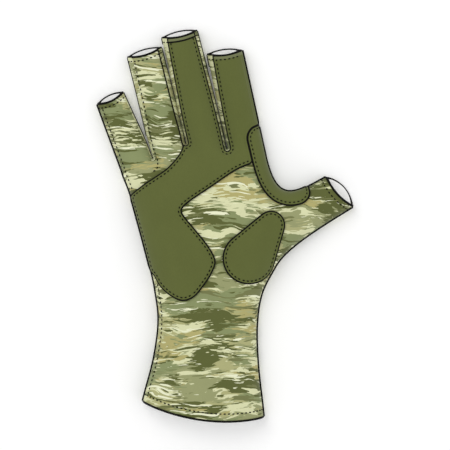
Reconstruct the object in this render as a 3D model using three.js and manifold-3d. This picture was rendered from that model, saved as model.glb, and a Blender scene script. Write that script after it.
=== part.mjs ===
// A fingerless fishing glove for the right hand, with a long cuff. It lies on its back with the palm up.
// x runs from the little finger's side to the thumb's side, y from the cuff to the fingertips, z up.
// All sizes are in millimetres and all angles in degrees.
//
// The glove is a hollow shell of thin cloth: a palm panel, a back panel and a narrow gusset round each
// gap between two fingers. Three padded patches are sewn on it, and a hem is turned in at each opening.
// One flat drawing of the glove, a mesh of quads, carries all of them. A membrane is blown up over it,
// which is low at the outline and full in the palm, and its two sides are the palm and the back.
import * as THREE from 'three';
import { mergeVertices } from 'three/addons/utils/BufferGeometryUtils.js';
import Module from 'manifold-3d';

// Hand and cuff
const bodyLength = 172;      // from the cuff's lowest point to the crotches of the fingers
const palmWidth = 92;        // across the knuckles, from side to side
const wristWidth = 63;       // the narrowest place
const cuffWidth = 78;        // across the open end
const cuffDrop = 8.5;        // how far the cuff's edge bulges below a straight line

// Fingers
const fingerLength = 74;     // the middle finger, from its root to its open end
const fingerWidth = 22.6;    // the middle finger's open end, laid flat
const fingerGap = 1.7;       // between two fingers at their roots
const crotchRadius = 3.5;    // the round bottom of the gap between two fingers

// Thumb
const thumbReach = 64;       // from the thumb's lower root to the middle of its open end
const thumbLean = 40.6;      // direction of that reach, from +y towards the thumb's side
const thumbWidth = 25.3;     // the thumb's open end, laid flat
const thumbRimLean = 47.7;   // direction that the open end faces
const webDrop = 34;          // how far the web goes on in the index finger's direction
const webReach = 22;         // how far it comes back in the thumb's direction
const webThumbLean = 61;     // the thumb's upper edge, from +y
const heelDrop = 14;         // how far the thumb's lower edge starts in the wrist's direction
const heelReach = 25;        // how far it comes back in the thumb's direction
const heelThumbLean = 58.2;  // the thumb's lower edge, from +y

// Thickness
const palmThickness = 22;    // the full palm, above the surface that the glove lies on
const sideHeight = 5.5;      // the height of the outline above that surface
const billow = 15;           // how far from its edge the cloth takes to swell
const flatShare = 0.4;       // the share of the swelling past which the back lies flat
const rimRecess = 2.4;       // how far each open end draws back in its middle, on the palm side
const rimBulge = 2;          // how far a finger's open end stands out on the back
const thumbRimBulge = 4;     // the same at the thumb

// Cloth
const wall = 1.2;            // knitted cloth
const patchWall = 1.1;       // the padded patches
const hemWall = 1.0;         // the turned-in layer at each opening
const gap = 0.3;             // between two layers
const seamGap = 0.5;         // between two panels
const fingerHem = 5.5;       // depth of the hem at a finger's end
const cuffHem = 7;           // depth of the hem at the cuff

// Patches
const webPatchWidth = 8.6;   // the patch along the web, on each side of the edge
const webPatchStart = 20;    // how far up the index finger it starts, from the knuckles
const webPatchShare = 0.8;   // the share of the web's curve at which it ends, on the thumb
const webPatchRound = 9;     // length of its rounded ends
const heelPadRadius = 16;    // the pad under the thumb: its wide end
const heelPadTip = 8.6;      // its narrow end
const heelPadLength = 25.5;  // between the centres of its two ends
const heelPadLean = 34;      // the direction from the wide end to the narrow end, from +y

// Mesh
const rowPitch = 10;         // length of a row along a finger

const radians = THREE.MathUtils.degToRad;
const heading = (lean) => new THREE.Vector2(Math.sin(radians(lean)), Math.cos(radians(lean)));
const mix = (a, b, share) => a.clone().lerp(b, share);
const smooth = (share) => THREE.MathUtils.smoothstep(share, 0, 1);

// Sections across the hand. Each edge point is up the body by a share of bodyLength, and out from the
// axis by a share of the section's width. Above the thumb, its side is a share of the web's curve.
const hemUp = cuffHem / bodyLength;
const sections = [
  { name: 'cuff',    width: cuffWidth,  ulnarUp: 0.076, ulnarOut: -0.522, thumbUp: 0.018, thumbOut: 0.468, rows: 1 },
  { name: 'hem',     width: cuffWidth,  ulnarUp: 0.076 + hemUp, ulnarOut: -0.498,
    thumbUp: 0.018 + hemUp, thumbOut: 0.458, rows: 1 },
  { name: 'narrow',  width: wristWidth, ulnarUp: 0.240, ulnarOut: -0.530, thumbUp: 0.215, thumbOut: 0.520, rows: 2 },
  { name: 'wrist',   width: wristWidth, ulnarUp: 0.375, ulnarOut: -0.485, thumbUp: 0.360, thumbOut: 0.510, rows: 2 },
  { name: 'heel',    width: palmWidth,  ulnarUp: 0.490, ulnarOut: -0.356, thumbUp: 0.478, thumbOut: 0.384, rows: 1 },
  { name: 'thumb',   width: palmWidth,  ulnarUp: 0.590, ulnarOut: -0.397, thumbUp: 0.573, thumbOut: 0.473, rows: 6 },
  { name: 'web',     width: palmWidth,  ulnarUp: 0.825, ulnarOut: -0.516, webShare: 0.43, rows: 3 },
  { name: 'crotch',  width: palmWidth,  ulnarUp: 0.914, ulnarOut: -0.577, webShare: 0.034, rows: 1 },
  { name: 'knuckle', width: palmWidth,  ulnarUp: 0.935, ulnarOut: -0.589, thumbUp: 0.990, thumbOut: 0.404, rows: 0 },
];

// Fingers, from the little finger on. along and above place the crotch on the thumb's side of each
// finger: shares of the knuckle line's length, along it and above it.
const fingers = [
  { name: 'little', length: 0.623, width: 0.80, lean: -22.3, rimLean: -24.9, along: 0.224, above: 0.057 },
  { name: 'ring',   length: 0.885, width: 0.99, lean: -14.3, rimLean: -16.2, along: 0.464, above: 0.138 },
  { name: 'middle', length: 1.000, width: 1.00, lean: -13.6, rimLean: -12.0, along: 0.746, above: 0.074 },
  { name: 'index',  length: 0.885, width: 0.96, lean: -12.0, rimLean: -7.2,  along: 1.000, above: 0.000 },
];

// Where the mesh's lines lie across a finger and across the thumb, from edge to edge.
const acrossFinger = [-1, -0.92, -0.7, -0.35, 0, 0.35, 0.7, 0.92, 1];
const acrossThumb = [-1, -0.86, -0.45, 0, 0.45, 0.86, 1];
const fingerCells = acrossFinger.length - 1;
const palmSeam = 2;          // the gusset's seam on the palm side, in cells from the finger's edge
const backSeam = 1;          // the gusset's seam on the back
const bodyCells = fingerCells * fingers.length;
const sideCells = 3;         // cells at each side of the hand that keep their width down to the cuff

// The flat drawing: points with their place on the outline, and quads of them.
const points = [];
const quads = [];

function addPoint(place, onOutline) {
  points.push({ place, onOutline });
  return points.length - 1;
}

function addQuads(rows, region) {
  for (let r = 0; r + 1 < rows.length; r++)
    for (let c = 0; c + 1 < rows[r].length; c++)
      quads.push({
        corners: [rows[r][c], rows[r][c + 1], rows[r + 1][c + 1], rows[r + 1][c]],
        region, row: r, column: c, rows: rows.length - 1,
      });
}

// The body's two edges, as points at each section.
const edgePoint = (section, side) => side === 'ulnar'
  ? new THREE.Vector2(section.ulnarOut * section.width, section.ulnarUp * bodyLength)
  : new THREE.Vector2(section.thumbOut * section.width, section.thumbUp * bodyLength);
const sectionIndex = (name) => sections.findIndex((section) => section.name === name);
const thumbSection = sectionIndex('thumb');
const webSection = sectionIndex('web');
const ulnarEnd = edgePoint(sections.at(-1), 'ulnar');
const indexEnd = edgePoint(sections.at(-1), 'thumb');
const thumbRoot = edgePoint(sections[thumbSection], 'thumb');

// The crotches lie off the straight line through the knuckles.
const knuckleLine = indexEnd.clone().sub(ulnarEnd);
const offKnuckles = new THREE.Vector2(-knuckleLine.y, knuckleLine.x).normalize();
const crotches = [ulnarEnd, ...fingers.map((finger) => ulnarEnd.clone()
  .addScaledVector(knuckleLine, finger.along)
  .addScaledVector(offKnuckles, finger.above * knuckleLine.length()))];

// Each finger's open end: its middle, and its two corners.
for (const [index, finger] of fingers.entries()) {
  const root = mix(crotches[index], crotches[index + 1], 0.5);
  const facing = heading(finger.rimLean);
  const across = new THREE.Vector2(facing.y, -facing.x);
  const end = root.addScaledVector(heading(finger.lean), finger.length * fingerLength);
  const half = finger.width * fingerWidth / 2;
  finger.corners = [end.clone().addScaledVector(across, -half), end.clone().addScaledVector(across, half)];
  finger.facing = facing;
}
const thumbFacing = heading(thumbRimLean);
const thumbAcross = new THREE.Vector2(-thumbFacing.y, thumbFacing.x);
const thumbEnd = thumbRoot.clone().addScaledVector(heading(thumbLean), thumbReach);
const thumbLowerCorner = thumbEnd.clone().addScaledVector(thumbAcross, -thumbWidth / 2);
const thumbUpperCorner = thumbEnd.clone().addScaledVector(thumbAcross, thumbWidth / 2);

// The web runs on from the index finger's edge and turns into the thumb's upper edge.
const indexEdge = indexEnd.clone().sub(fingers.at(-1).corners[1]).normalize();
const webCurve = new THREE.CubicBezierCurve(
  indexEnd,
  indexEnd.clone().addScaledVector(indexEdge, webDrop),
  thumbUpperCorner.clone().addScaledVector(heading(webThumbLean), -webReach),
  thumbUpperCorner,
);
const wristRun = thumbRoot.clone().sub(edgePoint(sections[thumbSection - 1], 'thumb')).normalize();
const heelCurve = new THREE.CubicBezierCurve(
  thumbRoot,
  thumbRoot.clone().addScaledVector(wristRun, heelDrop),
  thumbLowerCorner.clone().addScaledVector(heading(heelThumbLean), -heelReach),
  thumbLowerCorner,
);
const webShares = [sections[webSection].webShare, sections[webSection + 1].webShare, 0];
const webBottom = webCurve.getPoint(webShares[0]);

// Rows of the body: the point on each edge, section by section.
const ulnarCurve = new THREE.SplineCurve(sections.map((section) => edgePoint(section, 'ulnar')));
const wristCurve = new THREE.SplineCurve(sections.slice(0, thumbSection + 1)
  .map((section) => edgePoint(section, 'thumb')));
const knuckleSection = sections.length - 1;

function thumbSidePoint(station) {
  if (station <= thumbSection) return wristCurve.getPoint(station / thumbSection);
  if (station >= webSection) {
    const above = Math.min(Math.floor(station), knuckleSection - 1) - webSection;
    const share = station - webSection - above;
    return webCurve.getPoint(THREE.MathUtils.lerp(webShares[above], webShares[above + 1], share));
  }
  const row = (station - thumbSection) * sections[thumbSection].rows;
  const across = acrossThumb[Math.round(row)];
  return mix(thumbRoot, webBottom, (across + 1) / 2);
}

const stations = [];
for (const [index, section] of sections.entries())
  for (let row = 0; row < section.rows; row++) stations.push(index + row / section.rows);
stations.push(knuckleSection);

// Columns of the body: each finger's lines run on to the cuff, where they are spread evenly.
const knucklePoints = [];
const knuckleShares = [];
for (let column = 0; column <= bodyCells; column++) {
  const finger = Math.min(Math.floor(column / fingerCells), fingers.length - 1);
  const share = (acrossFinger[column - finger * fingerCells] + 1) / 2;
  const place = mix(crotches[finger], crotches[finger + 1], share);
  knucklePoints.push(place);
  knuckleShares.push(place.clone().sub(ulnarEnd).dot(knuckleLine) / knuckleLine.lengthSq());
}
const firstEven = knuckleShares[sideCells];
const lastEven = knuckleShares[bodyCells - sideCells];
const cuffShares = knuckleShares.map((share, column) => {
  if (column <= sideCells || column >= bodyCells - sideCells) return share;
  return THREE.MathUtils.mapLinear(column, sideCells, bodyCells - sideCells, firstEven, lastEven);
});

const body = stations.map((station, row) => {
  const left = ulnarCurve.getPoint(station / knuckleSection);
  const right = thumbSidePoint(station);
  const up = THREE.MathUtils.inverseLerp(0, ulnarEnd.y, left.y);
  const nearKnuckles = smooth(Math.max(0, up)) ** 3;
  const nearCuff = (1 - up) ** 4;
  return knucklePoints.map((knucklePoint, column) => {
    const share = THREE.MathUtils.lerp(cuffShares[column], knuckleShares[column], smooth(up) ** 2);
    const place = mix(left, right, share);
    if (row === stations.length - 1) place.copy(knucklePoint);
    else {
      const lift = knucklePoint.clone().sub(mix(ulnarEnd, indexEnd, knuckleShares[column]));
      place.addScaledVector(lift, nearKnuckles);
      place.y -= 4 * share * (1 - share) * cuffDrop * nearCuff;
    }
    const onSide = column === 0 || (column === bodyCells && (station <= thumbSection || station >= webSection));
    const onCrotch = row === stations.length - 1 && column % fingerCells === 0;
    return addPoint(place, onSide || onCrotch);
  });
});
addQuads(body, 'body');

// Shares of a digit's length at which its rows lie: a short one, even ones, and the hem.
function digitRows(length, first, hem) {
  const count = Math.max(1, Math.round((length - first - hem) / rowPitch));
  const even = Array.from({ length: count + 1 }, (_, row) =>
    (first + (length - first - hem) * row / count) / length);
  return first > 0 ? [0, ...even, 1] : [...even, 1];
}

for (const [index, finger] of fingers.entries()) {
  const roots = body.at(-1).slice(index * fingerCells, (index + 1) * fingerCells + 1);
  const length = finger.length * fingerLength;
  const rows = digitRows(length, crotchRadius, fingerHem).slice(1).map((share) => {
    const opened = Math.min(1, share * length / crotchRadius);
    const pinch = fingerGap / 2 * Math.sqrt(1 - (1 - opened) ** 2) * (1 - share);
    return acrossFinger.map((across, column) => {
      const tip = mix(finger.corners[0], finger.corners[1], (across + 1) / 2);
      const place = mix(points[roots[column]].place, tip, share);
      const outer = (index === 0 && across < 0) || (index === fingers.length - 1 && across > 0);
      const inward = finger.corners[0].clone().sub(finger.corners[1]).normalize();
      if (!outer) place.addScaledVector(inward, across * pinch);
      return addPoint(place, Math.abs(across) === 1);
    });
  });
  finger.rows = [roots, ...rows];
  addQuads(finger.rows, finger.name);
}

// The thumb: the body's rows at its root are the lines across it.
const thumbRow = stations.indexOf(thumbSection);
const thumbRoots = acrossThumb.map((_, column) => body[thumbRow + column][bodyCells]);
const thumbLength = mix(thumbRoot, webBottom, 0.5).distanceTo(thumbEnd);
const thumbRows = [thumbRoots, ...digitRows(thumbLength, 0, fingerHem).slice(1).map((share) => {
  const lower = heelCurve.getPoint(share);
  const upper = webCurve.getPoint(THREE.MathUtils.lerp(webShares[0], 1, share));
  return acrossThumb.map((across) =>
    addPoint(mix(lower, upper, (across + 1) / 2), Math.abs(across) === 1));
})];
addQuads(thumbRows.map((row) => [...row].reverse()), 'thumb');

// A screened membrane over the flat drawing: level 0 at the outline and 1 in the middle of the palm.
// Its stiffness between two points comes from the angles facing their edge, and sweeps settle it.
function swell() {
  const links = points.map(() => new Map());
  const area = points.map(() => 0);
  for (const { corners: [a, b, c, d] } of quads)
    for (const triangle of [[a, b, c], [a, c, d], [a, b, d], [b, c, d]]) {
      const places = triangle.map((point) => points[point].place);
      const size = Math.abs(places[1].clone().sub(places[0]).cross(places[2].clone().sub(places[0])));
      for (let k = 0; k < 3; k++) {
        const [apex, one, two] = [k, (k + 1) % 3, (k + 2) % 3];
        const toOne = places[one].clone().sub(places[apex]);
        const toTwo = places[two].clone().sub(places[apex]);
        const weight = toOne.dot(toTwo) / size / 4;
        const [p, q] = [triangle[one], triangle[two]];
        links[p].set(q, (links[p].get(q) ?? 0) + weight);
        links[q].set(p, (links[q].get(p) ?? 0) + weight);
        area[triangle[apex]] += size / 12;
      }
    }
  const level = points.map(() => 0);
  const sweeps = 600;
  const overshoot = 1.7;
  for (let sweep = 0; sweep < sweeps; sweep++)
    for (let p = 0; p < points.length; p++) {
      if (points[p].onOutline) continue;
      let pull = area[p] / billow ** 2;
      let stiffness = pull;
      for (const [q, weight] of links[p]) {
        pull += weight * level[q];
        stiffness += weight;
      }
      level[p] += overshoot * (pull / stiffness - level[p]);
    }
  const full = Math.max(...level);
  return level.map((value) => Math.sqrt(Math.max(0, value / full)));
}
const swelling = swell();

// Each open end is a lens seen from above: near it, the palm side is drawn back and the back stands
// out, most in the middle between the two corners.
const rimShifts = new Map();
function shapeRim(rows, across, facing, bulge) {
  const last = rows.length - 1;
  rows.forEach((row, r) => row.forEach((point, column) => {
    const share = THREE.MathUtils.smoothstep(r, last - 3, last) * (1 - across[column] ** 2);
    if (share > 0) rimShifts.set(point, {
      palm: facing.clone().multiplyScalar(-rimRecess * share),
      back: facing.clone().multiplyScalar(bulge * share),
    });
  }));
}
for (const finger of fingers) shapeRim(finger.rows, acrossFinger, finger.facing, rimBulge);
shapeRim(thumbRows, acrossThumb, thumbFacing, thumbRimBulge);

// The patch along the web: a band inside the outline, from the index finger's edge to the thumb. This
// is the stretch of the outline that it follows.
const webPath = new THREE.CurvePath();
const webPathSteps = 24;
webPath.add(new THREE.LineCurve(indexEnd.clone().addScaledVector(indexEdge, -webPatchStart), indexEnd));
webPath.add(new THREE.SplineCurve(
  webCurve.getPoints(webPathSteps).filter((_, step) => step <= webPatchShare * webPathSteps)));
const webPathPoints = webPath.getSpacedPoints(2 * webPathSteps);

// The back is raised by the thickness of that patch, which the glove lies on there.
const webLiftReach = webPatchWidth + rowPitch / 2;
const webLiftFade = 12;
function liftOverWebPatch(place) {
  const away = Math.min(...webPathPoints.map((point) => point.distanceTo(place)));
  const fade = THREE.MathUtils.smoothstep(away, webLiftReach, webLiftReach + webLiftFade);
  return (gap + patchWall) * (1 - fade);
}

// Both sides of the cloth in space. A point on the outline is shared by the palm and the back.
const vertices = [];
const sides = { palm: [], back: [] };
function addVertex(side, point, height) {
  const place = points[point].place.clone();
  if (rimShifts.has(point)) place.add(rimShifts.get(point)[side]);
  vertices.push(new THREE.Vector3(place.x, place.y, height));
  sides[side].push(vertices.length - 1);
}
for (const [point, { onOutline }] of points.entries()) {
  const level = onOutline ? 0 : swelling[point];
  const sunk = Math.sin(Math.min(1, level / flatShare) * Math.PI / 2);
  const lift = liftOverWebPatch(points[point].place);
  addVertex('palm', point, sideHeight + (palmThickness - sideHeight) * level);
  if (onOutline) sides.back.push(sides.palm[point]);
  else addVertex('back', point, THREE.MathUtils.lerp(sideHeight, lift, sunk));
}
const faces = [];
for (const quad of quads) {
  const { region, row, column, rows } = quad;
  faces.push({ side: 'palm', region, row, column, rows, corners: quad.corners.map((p) => sides.palm[p]) });
  faces.push({ side: 'back', region, row, column, rows,
    corners: quad.corners.map((p) => sides.back[p]).reverse() });
}

// The two triangles of a face, split the same way on every layer. The splits mirror about a finger's
// middle line, so that both sides of a crotch have the same shape.
function trianglesOf({ side, region, column, corners: [a, b, c, d] }) {
  const cells = region === 'thumb' ? acrossThumb.length - 1 : fingerCells;
  const leftHalf = column % cells < cells / 2;
  return leftHalf === (side === 'back') ? [[a, b, c], [a, c, d]] : [[a, b, d], [b, c, d]];
}
const normals = vertices.map(() => new THREE.Vector3());
for (const face of faces)
  for (const [a, b, c] of trianglesOf(face)) {
    const normal = vertices[b].clone().sub(vertices[a]).cross(vertices[c].clone().sub(vertices[a]));
    for (const v of [a, b, c]) normals[v].add(normal);
  }
for (const normal of normals) normal.normalize();

// A layer of cloth: the faces at two distances from the outer surface, joined round their border.
// The border is pulled back by half of the gap between two panels, and by more at a corner. Nothing
// reaches below the surface that the glove lies on.
function layer(chosen, outer, inner) {
  const triangles = chosen.flatMap(trianglesOf);
  const borders = new Map();
  for (const triangle of triangles)
    triangle.forEach((from, k) => {
      const to = triangle[(k + 1) % 3];
      if (!borders.delete(`${to} ${from}`)) borders.set(`${from} ${to}`, [from, to]);
    });
  const pull = new Map();
  for (const [from, to] of borders.values()) {
    const along = vertices[to].clone().sub(vertices[from]).normalize();
    for (const v of [from, to]) {
      const inward = normals[v].clone().cross(along).normalize();
      pull.set(v, (pull.get(v) ?? new THREE.Vector3()).add(inward));
    }
  }
  for (const inward of pull.values()) inward.multiplyScalar(seamGap / inward.lengthSq());
  const used = [...new Set(triangles.flat())];
  const slots = new Map(used.map((v, slot) => [v, slot]));
  const at = (v, distance) => {
    const place = vertices[v].clone().addScaledVector(normals[v], distance);
    if (pull.has(v)) place.add(pull.get(v));
    return place.setZ(Math.max(0, place.z));
  };
  const positions = [...used.map((v) => at(v, outer)), ...used.map((v) => at(v, inner))];
  const top = (v) => slots.get(v);
  const bottom = (v) => slots.get(v) + used.length;
  const index = [];
  for (const [a, b, c] of triangles) index.push(top(a), top(b), top(c), bottom(c), bottom(b), bottom(a));
  for (const [from, to] of borders.values())
    index.push(top(to), top(from), bottom(from), top(to), bottom(from), bottom(to));
  return new THREE.BufferGeometry().setFromPoints(positions).setIndex(index);
}

// Cuts and joins of closed solids.
const wasm = await Module();
wasm.setup();

function toSolid(geometry) {
  const bare = geometry.clone().deleteAttribute('normal').deleteAttribute('uv');
  const merged = mergeVertices(bare, 1e-4);
  return new wasm.Manifold(new wasm.Mesh({
    numProp: 3,
    vertProperties: merged.attributes.position.array,
    triVerts: new Uint32Array(merged.index.array),
  }));
}

function toGeometry(solid) {
  const mesh = solid.getMesh();
  return new THREE.BufferGeometry()
    .setAttribute('position', new THREE.BufferAttribute(new Float32Array(mesh.vertProperties), 3))
    .setIndex(new THREE.BufferAttribute(new Uint32Array(mesh.triVerts), 1));
}

// A patch's outline as an upright cutter that is taller than the glove.
const cutterHeight = 2 * palmThickness;
function cutter(outline) {
  const shape = new THREE.Shape(outline);
  const geometry = new THREE.ExtrudeGeometry(shape, { depth: 2 * cutterHeight, bevelEnabled: false });
  return toSolid(geometry.translate(0, 0, -cutterHeight));
}

// The palm patch's outline: shares of palmWidth across and of bodyLength up. On the fingers and at the
// little finger's side it runs past the cloth, whose own seams end it there.
const palmPatchEdge = [
  { out: -0.200, up: 1.100 },
  { out: -0.160, up: 1.035 },
  { out: -0.171, up: 1.003 },
  { out: -0.260, up: 0.943 },
  { out: -0.345, up: 0.910 },
  { out: -0.436, up: 0.878 },
  { out: -0.530, up: 0.836 },
  { out: -0.640, up: 0.760 },
  { out: -0.560, up: 0.600 },
  { out: -0.378, up: 0.560 },
  { out: -0.309, up: 0.504 },
  { out: -0.228, up: 0.467 },
  { out: -0.159, up: 0.454 },
  { out: -0.089, up: 0.467 },
  { out: -0.020, up: 0.510 },
  { out: 0.038,  up: 0.560 },
  { out: 0.059,  up: 0.597 },
  { out: 0.026,  up: 0.640 },
  { out: -0.066, up: 0.705 },
  { out: -0.160, up: 0.766 },
  { out: -0.176, up: 0.785 },
  { out: -0.155, up: 0.804 },
  { out: 0.038,  up: 0.877 },
  { out: 0.212,  up: 0.939 },
  { out: 0.316,  up: 0.962 },
  { out: 0.500,  up: 0.990 },
  { out: 0.600,  up: 1.300 },
  { out: 0.300,  up: 1.600 },
  { out: -0.500, up: 1.600 },
  { out: -0.400, up: 1.300 },
];
const edgeSteps = 2;         // straight pieces between two of these points
const palmPatchCurve = new THREE.CatmullRomCurve3(
  palmPatchEdge.map(({ out, up }) => new THREE.Vector3(out * palmWidth, up * bodyLength, 0)), true, 'centripetal');
const palmPatchOutline = palmPatchCurve.getPoints(edgeSteps * palmPatchEdge.length).slice(1)
  .map(({ x, y }) => new THREE.Vector2(x, y));

// The pad under the thumb: a round end and a smaller one, joined by two straight lines.
const heelPadAxis = heading(heelPadLean);
const heelPadWide = new THREE.Vector2(0.291 * palmWidth, 0.609 * bodyLength);
const heelPadNarrow = heelPadWide.clone().addScaledVector(heelPadAxis, heelPadLength);
const heelPadOutline = new THREE.Path();
const heelPadTurn = radians(90 - heelPadLean);
const heelPadTaper = Math.acos((heelPadRadius - heelPadTip) / heelPadLength);
heelPadOutline.absarc(heelPadNarrow.x, heelPadNarrow.y, heelPadTip,
  heelPadTurn - heelPadTaper, heelPadTurn + heelPadTaper, false);
heelPadOutline.absarc(heelPadWide.x, heelPadWide.y, heelPadRadius,
  heelPadTurn + heelPadTaper, heelPadTurn - heelPadTaper + 2 * Math.PI, false);

// The web patch's outline, grown by a margin. Its width rises and falls in a quarter circle at each
// end. spare is how far the cutter reaches past the cloth.
const spare = 3 * patchWall;
function webPatchOutline(margin) {
  const length = webPath.getLength();
  const inner = [];
  const outer = [];
  for (let step = 0; step <= webPathSteps; step++) {
    const share = step / webPathSteps;
    const place = webPath.getPointAt(share);
    const along = webPath.getTangentAt(share);
    const inward = new THREE.Vector2(along.y, -along.x);
    const toEnd = Math.min(share, 1 - share) * length;
    const round = Math.sqrt(1 - (1 - Math.min(1, toEnd / webPatchRound)) ** 2);
    const grown = margin * Math.sign(share - 0.5) * (1 - round);
    place.addScaledVector(along, grown);
    inner.push(place.clone().addScaledVector(inward, (webPatchWidth + margin) * round));
    outer.push(place.clone().addScaledVector(inward, -spare));
  }
  return [...inner, ...outer.reverse()];
}

const gussetSides = { palm: palmSeam, back: backSeam };
const fingerNames = fingers.map((finger) => finger.name);

// The gap between two fingers that a face's gusset goes round, counted from the little finger, or -1.
function gussetOf({ side, region, row, column, rows }) {
  const reach = gussetSides[side];
  if (region === 'body') {
    const near = Math.round((column + 0.5) / fingerCells);
    const inside = near > 0 && near < fingers.length && Math.abs(column + 0.5 - near * fingerCells) < reach;
    return row === rows - 1 && inside ? near - 1 : -1;
  }
  const finger = fingerNames.indexOf(region);
  if (finger < 0) return -1;
  if (column < reach && finger > 0) return finger - 1;
  if (column >= fingerCells - reach && finger < fingers.length - 1) return finger;
  return -1;
}

// What each piece is made of
const clothLook = { color: 0x9ea068, roughness: 0.85, metalness: 0 };
const patchLook = { color: 0x616839, roughness: 0.9, metalness: 0 };
const hemLook = { color: 0xe6e6de, roughness: 0.9, metalness: 0 };
const glove = new THREE.Group();

function addPiece(name, geometry, look) {
  geometry.computeVertexNormals();
  const mesh = new THREE.Mesh(geometry, new THREE.MeshStandardMaterial(look));
  mesh.name = name;
  glove.add(mesh);
}

const plain = (face) => gussetOf(face) < 0;
const ofSide = (side) => faces.filter((face) => face.side === side && plain(face));
addPiece('palm_panel', layer(ofSide('palm'), 0, -wall), clothLook);
addPiece('back_panel', layer(ofSide('back'), 0, -wall), clothLook);
for (let k = 0; k + 1 < fingers.length; k++) {
  const name = `gusset_${fingerNames[k]}_${fingerNames[k + 1]}`;
  addPiece(name, layer(faces.filter((face) => gussetOf(face) === k), 0, -wall), clothLook);
}

// The hems are rings inside the shell, one row deep.
const hemOuter = -wall - gap;
const hemOf = (region, atEnd) => faces.filter((face) =>
  face.region === region && face.row === (atEnd ? face.rows - 1 : 0));
for (const name of [...fingerNames, 'thumb'])
  addPiece(`hem_${name}`, layer(hemOf(name, true), hemOuter, hemOuter - hemWall), hemLook);
addPiece('hem_cuff', layer(hemOf('body', false), hemOuter, hemOuter - hemWall), hemLook);

// The patches lie on the shell.
const covered = ['body', 'middle', 'index'];
const webCutter = cutter(webPatchOutline(0));
const webClearance = cutter(webPatchOutline(seamGap));
const patchOn = (chosen) => toSolid(layer(chosen, gap + patchWall, gap));
const palmPatch = patchOn(ofSide('palm').filter((face) => covered.includes(face.region)))
  .intersect(cutter(palmPatchOutline)).subtract(webClearance);
addPiece('palm_patch', toGeometry(palmPatch), patchLook);

const heelPad = patchOn(ofSide('palm').filter((face) => ['body', 'thumb'].includes(face.region)))
  .intersect(cutter(heelPadOutline.getPoints(12)));
addPiece('thumb_pad', toGeometry(heelPad), patchLook);

const webPatch = patchOn(faces.filter((face) => face.region === 'thumb'
  || (['body', 'index'].includes(face.region) && plain(face))))
  .intersect(webCutter);
addPiece('web_patch', toGeometry(webPatch), patchLook);

// The origin is at the middle of the glove's box, on the surface that it lies on.
const box = new THREE.Box3().setFromObject(glove, true);
const middle = box.getCenter(new THREE.Vector3());
glove.position.set(-middle.x, -middle.y, -box.min.z);

export default glove;
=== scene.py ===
"""A fingerless fishing glove for the right hand, laid on its back with the palm up.

Its cloth, hems, suede patches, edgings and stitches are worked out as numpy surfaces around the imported
model, in metres, with the same axes: x towards the thumb, y towards the fingertips, z out of the palm.
"""

import functools
import math

import bpy
import numpy as np
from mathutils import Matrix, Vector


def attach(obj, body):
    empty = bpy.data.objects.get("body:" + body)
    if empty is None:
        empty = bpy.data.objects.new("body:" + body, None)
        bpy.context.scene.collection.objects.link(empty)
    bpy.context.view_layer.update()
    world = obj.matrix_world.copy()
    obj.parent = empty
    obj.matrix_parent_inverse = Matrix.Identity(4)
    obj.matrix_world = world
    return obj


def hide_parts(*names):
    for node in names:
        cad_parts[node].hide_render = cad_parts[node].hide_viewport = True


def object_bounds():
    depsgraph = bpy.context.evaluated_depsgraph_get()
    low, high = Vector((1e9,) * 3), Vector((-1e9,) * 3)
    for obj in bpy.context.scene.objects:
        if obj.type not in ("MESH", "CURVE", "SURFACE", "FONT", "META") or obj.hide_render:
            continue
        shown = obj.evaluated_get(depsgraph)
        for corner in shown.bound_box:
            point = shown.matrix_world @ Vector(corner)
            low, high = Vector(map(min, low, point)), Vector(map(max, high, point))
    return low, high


bl_info = {
    "name": "Fishing glove",
    "version": (1, 0, 0),
    "blender": (4, 5, 0),
    "location": "3D View > Sidebar > Glove",
    "description": "Makes the cloth, patches and stitching of a fingerless fishing glove",
    "category": "Object",
}

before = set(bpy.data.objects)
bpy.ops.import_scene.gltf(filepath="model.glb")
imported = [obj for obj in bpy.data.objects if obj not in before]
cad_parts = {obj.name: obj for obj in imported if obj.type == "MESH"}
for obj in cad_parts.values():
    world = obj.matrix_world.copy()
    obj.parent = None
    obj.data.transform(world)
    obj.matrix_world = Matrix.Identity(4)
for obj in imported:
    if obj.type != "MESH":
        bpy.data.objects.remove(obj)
CAD_BOX = [list(corner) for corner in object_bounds()]
MM = 0.001

# The glove's pattern, in millimetres and degrees
BODY_LENGTH = 172.0
PALM_WIDTH = 92.0
WRIST_WIDTH = 63.0
CUFF_WIDTH = 78.0
CUFF_DROP = 8.5
FINGER_LENGTH = 74.0
FINGER_WIDTH = 22.6
FINGER_GAP = 0.9
CROTCH_RADIUS = 3.5
THUMB_REACH, THUMB_LEAN, THUMB_WIDTH, THUMB_RIM_LEAN = 64.0, 40.6, 25.3, 47.7
WEB_DROP, WEB_REACH, WEB_THUMB_LEAN = 34.0, 22.0, 61.0
HEEL_DROP, HEEL_REACH, HEEL_THUMB_LEAN = 14.0, 25.0, 58.2
PALM_THICKNESS = 22.0
SIDE_HEIGHT = 5.5
BILLOW = 15.0
FLAT_SHARE = 0.4
RIM_REACH = 25.5
RIM_RECESS, RIM_BULGE, THUMB_RIM_BULGE = 2.4, 2.0, 4.0
FINGER_HEM, CUFF_HEM = 5.5, 7.0
PATCH_LIFT, LIFT_BEYOND, LIFT_FADE = 1.4, 5.0, 12.0

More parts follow.
